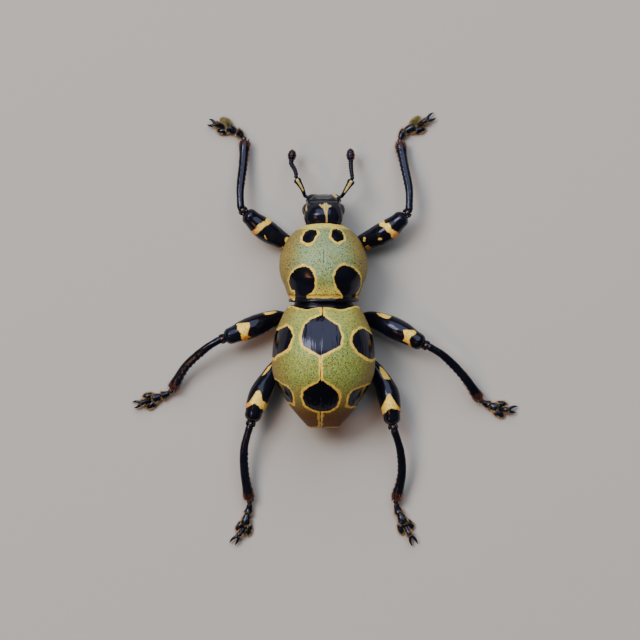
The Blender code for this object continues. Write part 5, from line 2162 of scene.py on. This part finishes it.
class Leg:
    """One leg: hip, clubbed thigh with its cream ring, shank with teeth, and the brushed foot."""

    def __init__(self, name: str, plan: LegPlan, sizes: LegSizes) -> None:
        """Keeps the leg's name in the nodes, the places of its joints and its radii."""
        self.name, self.plan, self.sizes = name, plan, sizes
        self.seed = 3.0 + list(LEG_PLANS).index(name)

    def coxa(self) -> list[Grid]:
        """The hip joint, a round knob with a granular surface."""
        knob = ball(self.plan.coxa, self.sizes.coxa_radii, np.eye(3), 40, 48)
        knob.push(0.012 * wobble(knob.points, 0.12, self.seed))
        return [knob]

    def femur(self) -> list[Grid]:
        """The thigh with its trochanter in one skin, and the cheeks beside the knee.

        Returns:
            The thigh and its cheeks.
        """
        sizes, plan = self.sizes, self.plan
        hip, first = np.array(plan.coxa), np.array(plan.femur[0])
        heading = (first - hip) / np.linalg.norm(first - hip)
        start = hip + heading * (sizes.coxa_radii[0] + sizes.socket_gap)
        route = Route.through((start, *plan.femur), 110, hip + heading * 0.34, 12)
        thigh = tube(route, sizes.femur, 1.0, 64, (0.1, 0.44))
        thigh.push(0.010 * wobble(thigh.points, 0.35, self.seed))
        charted = self.chart(thigh, route)
        spread = thigh.true_distance(charted) + 0.02 * wobble(thigh.points, 0.2, self.seed + 4)
        dress(thigh, spread, TONES.cream, TONES.rust, 0.06)
        # Painted warm light: scales on the thigh's downward side that faces away from the head turn rust,
        # standing for warm reflected light.
        warm_light_slope = rise(0.97, 0.55, thigh.normals()[..., 2]) * rise(-0.1, 0.3, self.outward(thigh))
        thigh.values["pigment"] = as_colour(mixed(thigh.values["pigment"][..., :3], TONES.rust, 0.8 * warm_light_slope))
        knee = np.array(plan.tibia[0])
        middle = 0.62 * route.points[-1] + 0.38 * knee
        axes = np.stack([route.ahead[-1], route.side[-1], route.top[-1]])
        cheeks = [ball(middle + axes[1] * way * 0.25, sizes.cheek_radii, axes, 16, 20) for way in (-1, 1)]
        for cheek in cheeks:
            dress(cheek, np.full(cheek.points.shape[:2], -1.0), TONES.cream, TONES.gold)
        return [thigh, *cheeks]

    def outward(self, thigh: Grid) -> Array:
        """How far the thigh's skin faces away from the head, from -1 to 1."""
        away = np.array([self.plan.coxa[0] - BODY_AXIS, -abs(self.plan.coxa[0]), 0.0])
        return thigh.normals() @ (away / np.linalg.norm(away))

    def chart(self, thigh: Grid, route: Route) -> Array:
        """The distance inside the thigh's patches, drawn as seen from above and carried on round below.

        Args:
            thigh: the thigh's grid.
            route: its line.

        Returns:
            The distance at each point, measured in plan.
        """
        turn = circle(thigh.points.shape[1])[None]
        radius = np.maximum(self.sizes.femur(route.t), 0.05)[:, None]
        below = np.arcsin(np.clip(-np.sin(turn), 0, 1))
        across = np.cos(turn)
        off = np.where(np.sin(turn) >= 0, radius * across, np.copysign(radius * (1 + below), across))
        level = route.side[:, None, :2] / np.linalg.norm(route.side[:, None, :2], axis=-1, keepdims=True)
        flat = route.points[:, None, :2] + level * off[..., None]
        charted = np.full(off.shape, -9.0)
        for patch in self.plan.patches:
            inside = outline_distance(flat[..., 0] - BODY_AXIS, flat[..., 1], softened(patch))
            charted = np.maximum(charted, inside - self.sizes.overhang)
        return charted

    def tibia(self) -> list[Grid]:
        """The shank: a slightly bent shaft that widens to its end, with small teeth along its inner side.

        Returns:
            The shaft and its spur.
        """
        plan = self.plan
        knee, start = np.array(plan.femur[-1]), np.array(plan.tibia[0])
        route = Route.through(plan.tibia, 90, 0.8 * knee + 0.2 * start, 6)
        shaft = tube(route, self.sizes.tibia, 0.86, 40, (0.12, 0.1))
        turn = circle(40)[None]
        t = route.t[:, None]
        inner = rise(0.35, 0.9, np.cos(turn - (0 if self.inner_first(route) else math.pi) + 0.5))
        comb = np.maximum(np.cos(2 * math.pi * self.sizes.teeth * (t - 0.35) / 0.6), 0) ** 2
        relief = 0.05 * inner * comb * rise(0.32, 0.4, t) * rise(0.97, 0.92, t)
        flute = -0.02 * hump(turn - math.pi / 2, 0.22) * rise(0.1, 0.3, t) * rise(0.95, 0.8, t)
        shaft.push(relief + flute + 0.008 * wobble(shaft.points, 0.25, self.seed))
        shaft.values["spread"] = np.full(shaft.points.shape[:2], -1.0)
        inward = route.side[-1] * self.inner_way(route)
        spur_root = route.points[-1] - route.ahead[-1] * 0.12 + inward * 0.2
        spur_tip = spur_root + route.ahead[-1] * 0.30 + inward * 0.10
        spur_line = Route.through((spur_root, (spur_root + spur_tip) / 2, spur_tip), 14)
        spur = tube(spur_line, self.sizes.spur, 1.0, 12, (0.03, 0.02))
        self.shank, self.shank_route = shaft, route
        return [shaft, spur]

    def inner_way(self, route: Route) -> int:
        """Whether the route's side direction, 1, or its opposite, -1, points at the body's middle."""
        middle = np.array([BODY_AXIS, 0.0, 0.0]) - route.points[len(route.points) // 2]
        return 1 if middle @ route.side[len(route.points) // 2] > 0 else -1

    def inner_first(self, route: Route) -> bool:
        """Whether the tube's first column lies on the inner side."""
        return self.inner_way(route) > 0

    def skins(self) -> list[Grid]:
        """The soft skin in the knee and in the ankle.

        Returns:
            The grid of each skin.
        """
        plan = self.plan
        hinges = ((plan.femur[-1], plan.tibia[0], 0.21), (plan.tibia[-1], plan.foot[0], 0.20))
        made = []
        for before, after, radius in hinges:
            centre = (np.array(before) + np.array(after)) / 2
            heading = np.array(after) - np.array(before)
            heading = heading / np.linalg.norm(heading)
            side = np.cross(heading, [0.0, 0.0, 1.0])
            side = side / np.linalg.norm(side)
            axes = np.stack([heading, side, np.cross(side, heading)])
            made.append(ball(centre, (radius * 1.1, radius, radius), axes, 16, 20))
        return made

    def foot(self) -> list[Grid]:
        """Two bell-shaped joints, two lobes, the claw joint and two claws, flat where they stand.

        Returns:
            The joints from the ankle outward.
        """
        sizes = self.sizes
        ankle, first, second, pad, toe, tip = (np.array(point) for point in self.plan.foot)
        heading = (toe - second) / np.linalg.norm(toe - second)
        level = np.array([heading[0], heading[1], 0.0])
        level = level / np.linalg.norm(level)
        across = np.array([-level[1], level[0], 0.0])
        middle = (first + second) / 2
        hollow = middle * 0.8 + first * 0.2
        joints = [
            tube(Route.through((ankle, first, middle), 30), sizes.first_joint, 0.8, 30),
            tube(Route.through((hollow, second, pad - heading * 0.12), 30), sizes.second_joint, 0.74, 30),
        ]
        yaw = math.atan2(level[1], level[0])
        for way in (-1, 1):
            centre = pad + across * way * sizes.lobe_spread
            angle = yaw + way * sizes.lobe_turn
            ahead = np.array([math.cos(angle), math.sin(angle), 0.0])
            axes = np.stack([ahead, np.array([-ahead[1], ahead[0], 0.0]), np.array([0.0, 0.0, 1.0])])
            lobe = ball((centre[0], centre[1], sizes.lobe_height), sizes.lobe_radii, axes, 22, 28)
            lobe.values["lie"] = np.broadcast_to(ahead, lobe.points.shape).copy()
            joints.append(lobe)
        toe_root = pad + heading * 0.05
        toe_line = Route.through((toe_root, (toe_root + toe) / 2 + [0, 0, 0.04], toe), 36)
        joints.append(tube(toe_line, sizes.claw_joint, 0.9, 26))
        self.brushes = [Grid(joint.points.copy(), dict(joint.values)) for joint in joints]
        for way in (-1, 1):
            root = toe - heading * 0.12
            end = tip + across * way * sizes.claw_spread
            bend = root + (end - root) * 0.55 + across * way * 0.08 + [0, 0, 0.08]
            joints.append(tube(Route.through((root, bend, end), 26), sizes.claw, 1.0, 16, (0.05, 0.02)))
        for joint in joints:
            joint.points[..., 2] = np.maximum(joint.points[..., 2], 0.0)
        return joints

    def brush(self, low: float, high: float, start: float) -> list[Mesh]:
        """Copies of the foot's joints that say where a brush grows.

        Args:
            low: the lowest upward slant of the skin where it grows, from -1 below to 1 above.
            high: the highest one.
            start: how far along each joint it starts, from 0 to 1.

        Returns:
            One mesh for each joint.
        """
        made = []
        for joint in self.brushes:
            up = joint.normals()[..., 2]
            share = np.linspace(0, 1, len(up))[:, None]
            spread = np.minimum(np.minimum(up - low, high - up), share - start)
            made.append(joint.only("brush", np.minimum(spread, joint.points[..., 2] - 0.1)))
        return made

    def tuft(self) -> Mesh:
        """A copy of the foot's foremost lobe, where a dense tuft grows all over the top."""
        lobe = max(self.brushes[2:4], key=lambda joint: joint.points[..., 1].mean())
        return lobe.only("tuft", lobe.normals()[..., 2] - 0.05)


class Legs:
    """The six legs and everything that grows on them."""

    def __init__(self, sizes: LegSizes) -> None:
        """Plans the six legs with the sizes that they share."""
        self.legs = [Leg(name, plan, sizes) for name, plan in LEG_PLANS.items()]

    def build(self, finishes: Finishes, coats: CoatTree) -> None:
        """Makes the legs, their patches of scales, their brushes and their bristles.

        Args:
            finishes: the materials.
            coats: the tree that sows what grows.
        """
        thighs, shanks, soles, uppers, tufts = [], [], [], [], []
        for leg in self.legs:
            node = f"leg_{leg.name}"
            dark = {
                "coxa": (leg.coxa(), finishes.bare, Slot.BLACK),
                "femur": (leg.femur(), finishes.patched, Slot.BLACK),
                "tibia": (leg.tibia(), finishes.bare, Slot.BLACK),
                "tarsus": (leg.foot(), finishes.bare, Slot.FOOT),
            }
            for part, (grids, finish, slot) in dark.items():
                mesh = joined(part, [grid.mesh(part) for grid in grids])
                place(f"{node}_{part}_skin", mesh, finish, slot, [f"{node}_{part}"])
                if part == "femur":
                    thighs.append(grids[0].mesh("thigh"))
            skins = joined("skins", [grid.mesh("skin") for grid in leg.skins()])
            place(f"{node}_joint_skin", skins, finishes.membrane, Slot.BLACK)
            shanks.append(self.fringe(leg))
            soles += leg.brush(-0.75, 0.05, 0.15)
            uppers += leg.brush(0.0, 0.85, 0.5)
            if "front" in leg.name:
                tufts.append(leg.tuft())
        patch = replace(SCALE_GROWTH, pitted=False, seed=53)
        coats.sow("leg_scales", thighs, FlakeShape.SCALE, patch, finishes.flakes, Slot.SCALED)
        orange = Growth(0.036, 0.18, 0.015, 22.0, 14.0, 26.0, seed=61)
        olive = Growth(0.062, 0.14, 0.018, 18.0, 10.0, 26.0, seed=67)
        fringe = Growth(0.075, 0.20, 0.014, 24.0, 14.0, 24.0, seed=71)
        coats.sow("foot_brushes", soles, FlakeShape.BRISTLE, orange, finishes.orange, Slot.FOOT)
        coats.sow("foot_bristles", uppers, FlakeShape.BRISTLE, olive, finishes.olive, Slot.FOOT)
        tuft = Growth(0.030, 0.17, 0.024, 30.0, 14.0, 30.0, seed=69)
        coats.sow("foot_tufts", tufts, FlakeShape.BRISTLE, tuft, finishes.olive, Slot.FOOT)
        coats.sow("shank_bristles", shanks, FlakeShape.BRISTLE, fringe, finishes.brown, Slot.BLACK)

    def fringe(self, leg: Leg) -> Mesh:
        """The ground of a shank's bristles: all round its end, and thin along its inner side.

        Args:
            leg: the leg, whose shank has been made.

        Returns:
            The ground's mesh.
        """
        t = leg.shank_route.t[:, None]
        turn = circle(leg.shank.points.shape[1])[None]
        inner = np.cos(turn - (0 if leg.inner_first(leg.shank_route) else math.pi))
        spread = np.maximum(t - 0.9, np.minimum(inner - 0.9, t - 0.7))
        return leg.shank.only("fringe", spread)


# The stage


@dataclass(frozen=True)
class Lamp:
    """A soft square light that looks at the model's middle."""

    name: str
    place: Point
    width: float
    height: float
    power: float
    colour: Colour

    def build(self) -> None:
        """Hangs the light."""
        data = bpy.data.lights.new(self.name, "AREA")
        data.shape = "RECTANGLE"
        data.size, data.size_y = self.width, self.height
        data.energy, data.color = self.power, self.colour
        lamp = bpy.data.objects.new(self.name, data)
        bpy.context.scene.collection.objects.link(lamp)
        lamp.location = self.place
        lamp.rotation_euler = Vector(self.place).to_track_quat("Z", "Y").to_euler()
        lamp.visible_camera = False


@dataclass(frozen=True)
class Stage:
    """A pale floor, soft daylight from the head's side and a camera straight above."""

    floor_size: float = 1.6
    floor_tone: Colour = (0.43, 0.425, 0.42)
    air: Colour = (0.62, 0.64, 0.68)
    air_strength: float = 0.10
    camera_height: float = 1.0
    picture_width: float = 44.03
    aim: Flat = (-0.38, 0.69)
    sensor: float = 36.0
    lamps: tuple[Lamp, ...] = (
        Lamp("window", (0.0, 0.31, 0.38), 0.50, 0.50, 2.6, (0.88, 0.90, 0.96)),
        Lamp("softbox", (-0.24, 0.18, 0.44), 0.22, 0.22, 2.2, (1.0, 0.96, 0.86)),
        Lamp("warm_lamp", (-0.21, -0.114, 0.32), 0.10, 0.06, 0.27, (1.0, 0.38, 0.08)),
    )

    def build(self) -> None:
        """Lays the floor, hangs the lights and sets the camera."""
        half = self.floor_size / 2
        mesh = bpy.data.meshes.new("floor")
        corners = [(-half, -half, 0), (half, -half, 0), (half, half, 0), (-half, half, 0)]
        mesh.from_pydata(corners, [], [(0, 1, 2, 3)])
        mesh.materials.append(PlainFinish("floor_board", self.floor_tone).build())
        link("floor", mesh)
        for lamp in self.lamps:
            lamp.build()
        world = bpy.data.worlds.new("air")
        world.use_nodes = True
        n = Nodes(world.node_tree)
        glow = n.add("ShaderNodeBackground", {"Color": (*self.air, 1), "Strength": self.air_strength})
        n.add("ShaderNodeOutputWorld", {"Surface": glow.outputs[0]})
        bpy.context.scene.world = world
        data = bpy.data.cameras.new("view")
        data.sensor_width = self.sensor
        data.lens = self.camera_height * self.sensor / (self.picture_width * MM)
        data.clip_end = 10.0
        camera = bpy.data.objects.new("view", data)
        camera.location = (self.aim[0] * MM, self.aim[1] * MM, self.camera_height)
        bpy.context.scene.collection.objects.link(camera)
        bpy.context.scene.camera = camera


def main() -> None:
    """Builds the weevil piece by piece, then the stage."""
    logging.basicConfig(level=logging.INFO, format="%(name)s %(message)s")
    finishes = Finishes.make()
    coats = CoatTree()
    for part in (WingCases(), Prothorax(), Underbody(), Head(), Feelers(), Legs(LegSizes())):
        part.build(finishes, coats)
        LOG.info("%s is done", type(part).__name__)
    Stage().build()


if __name__ == "__main__":
    main()
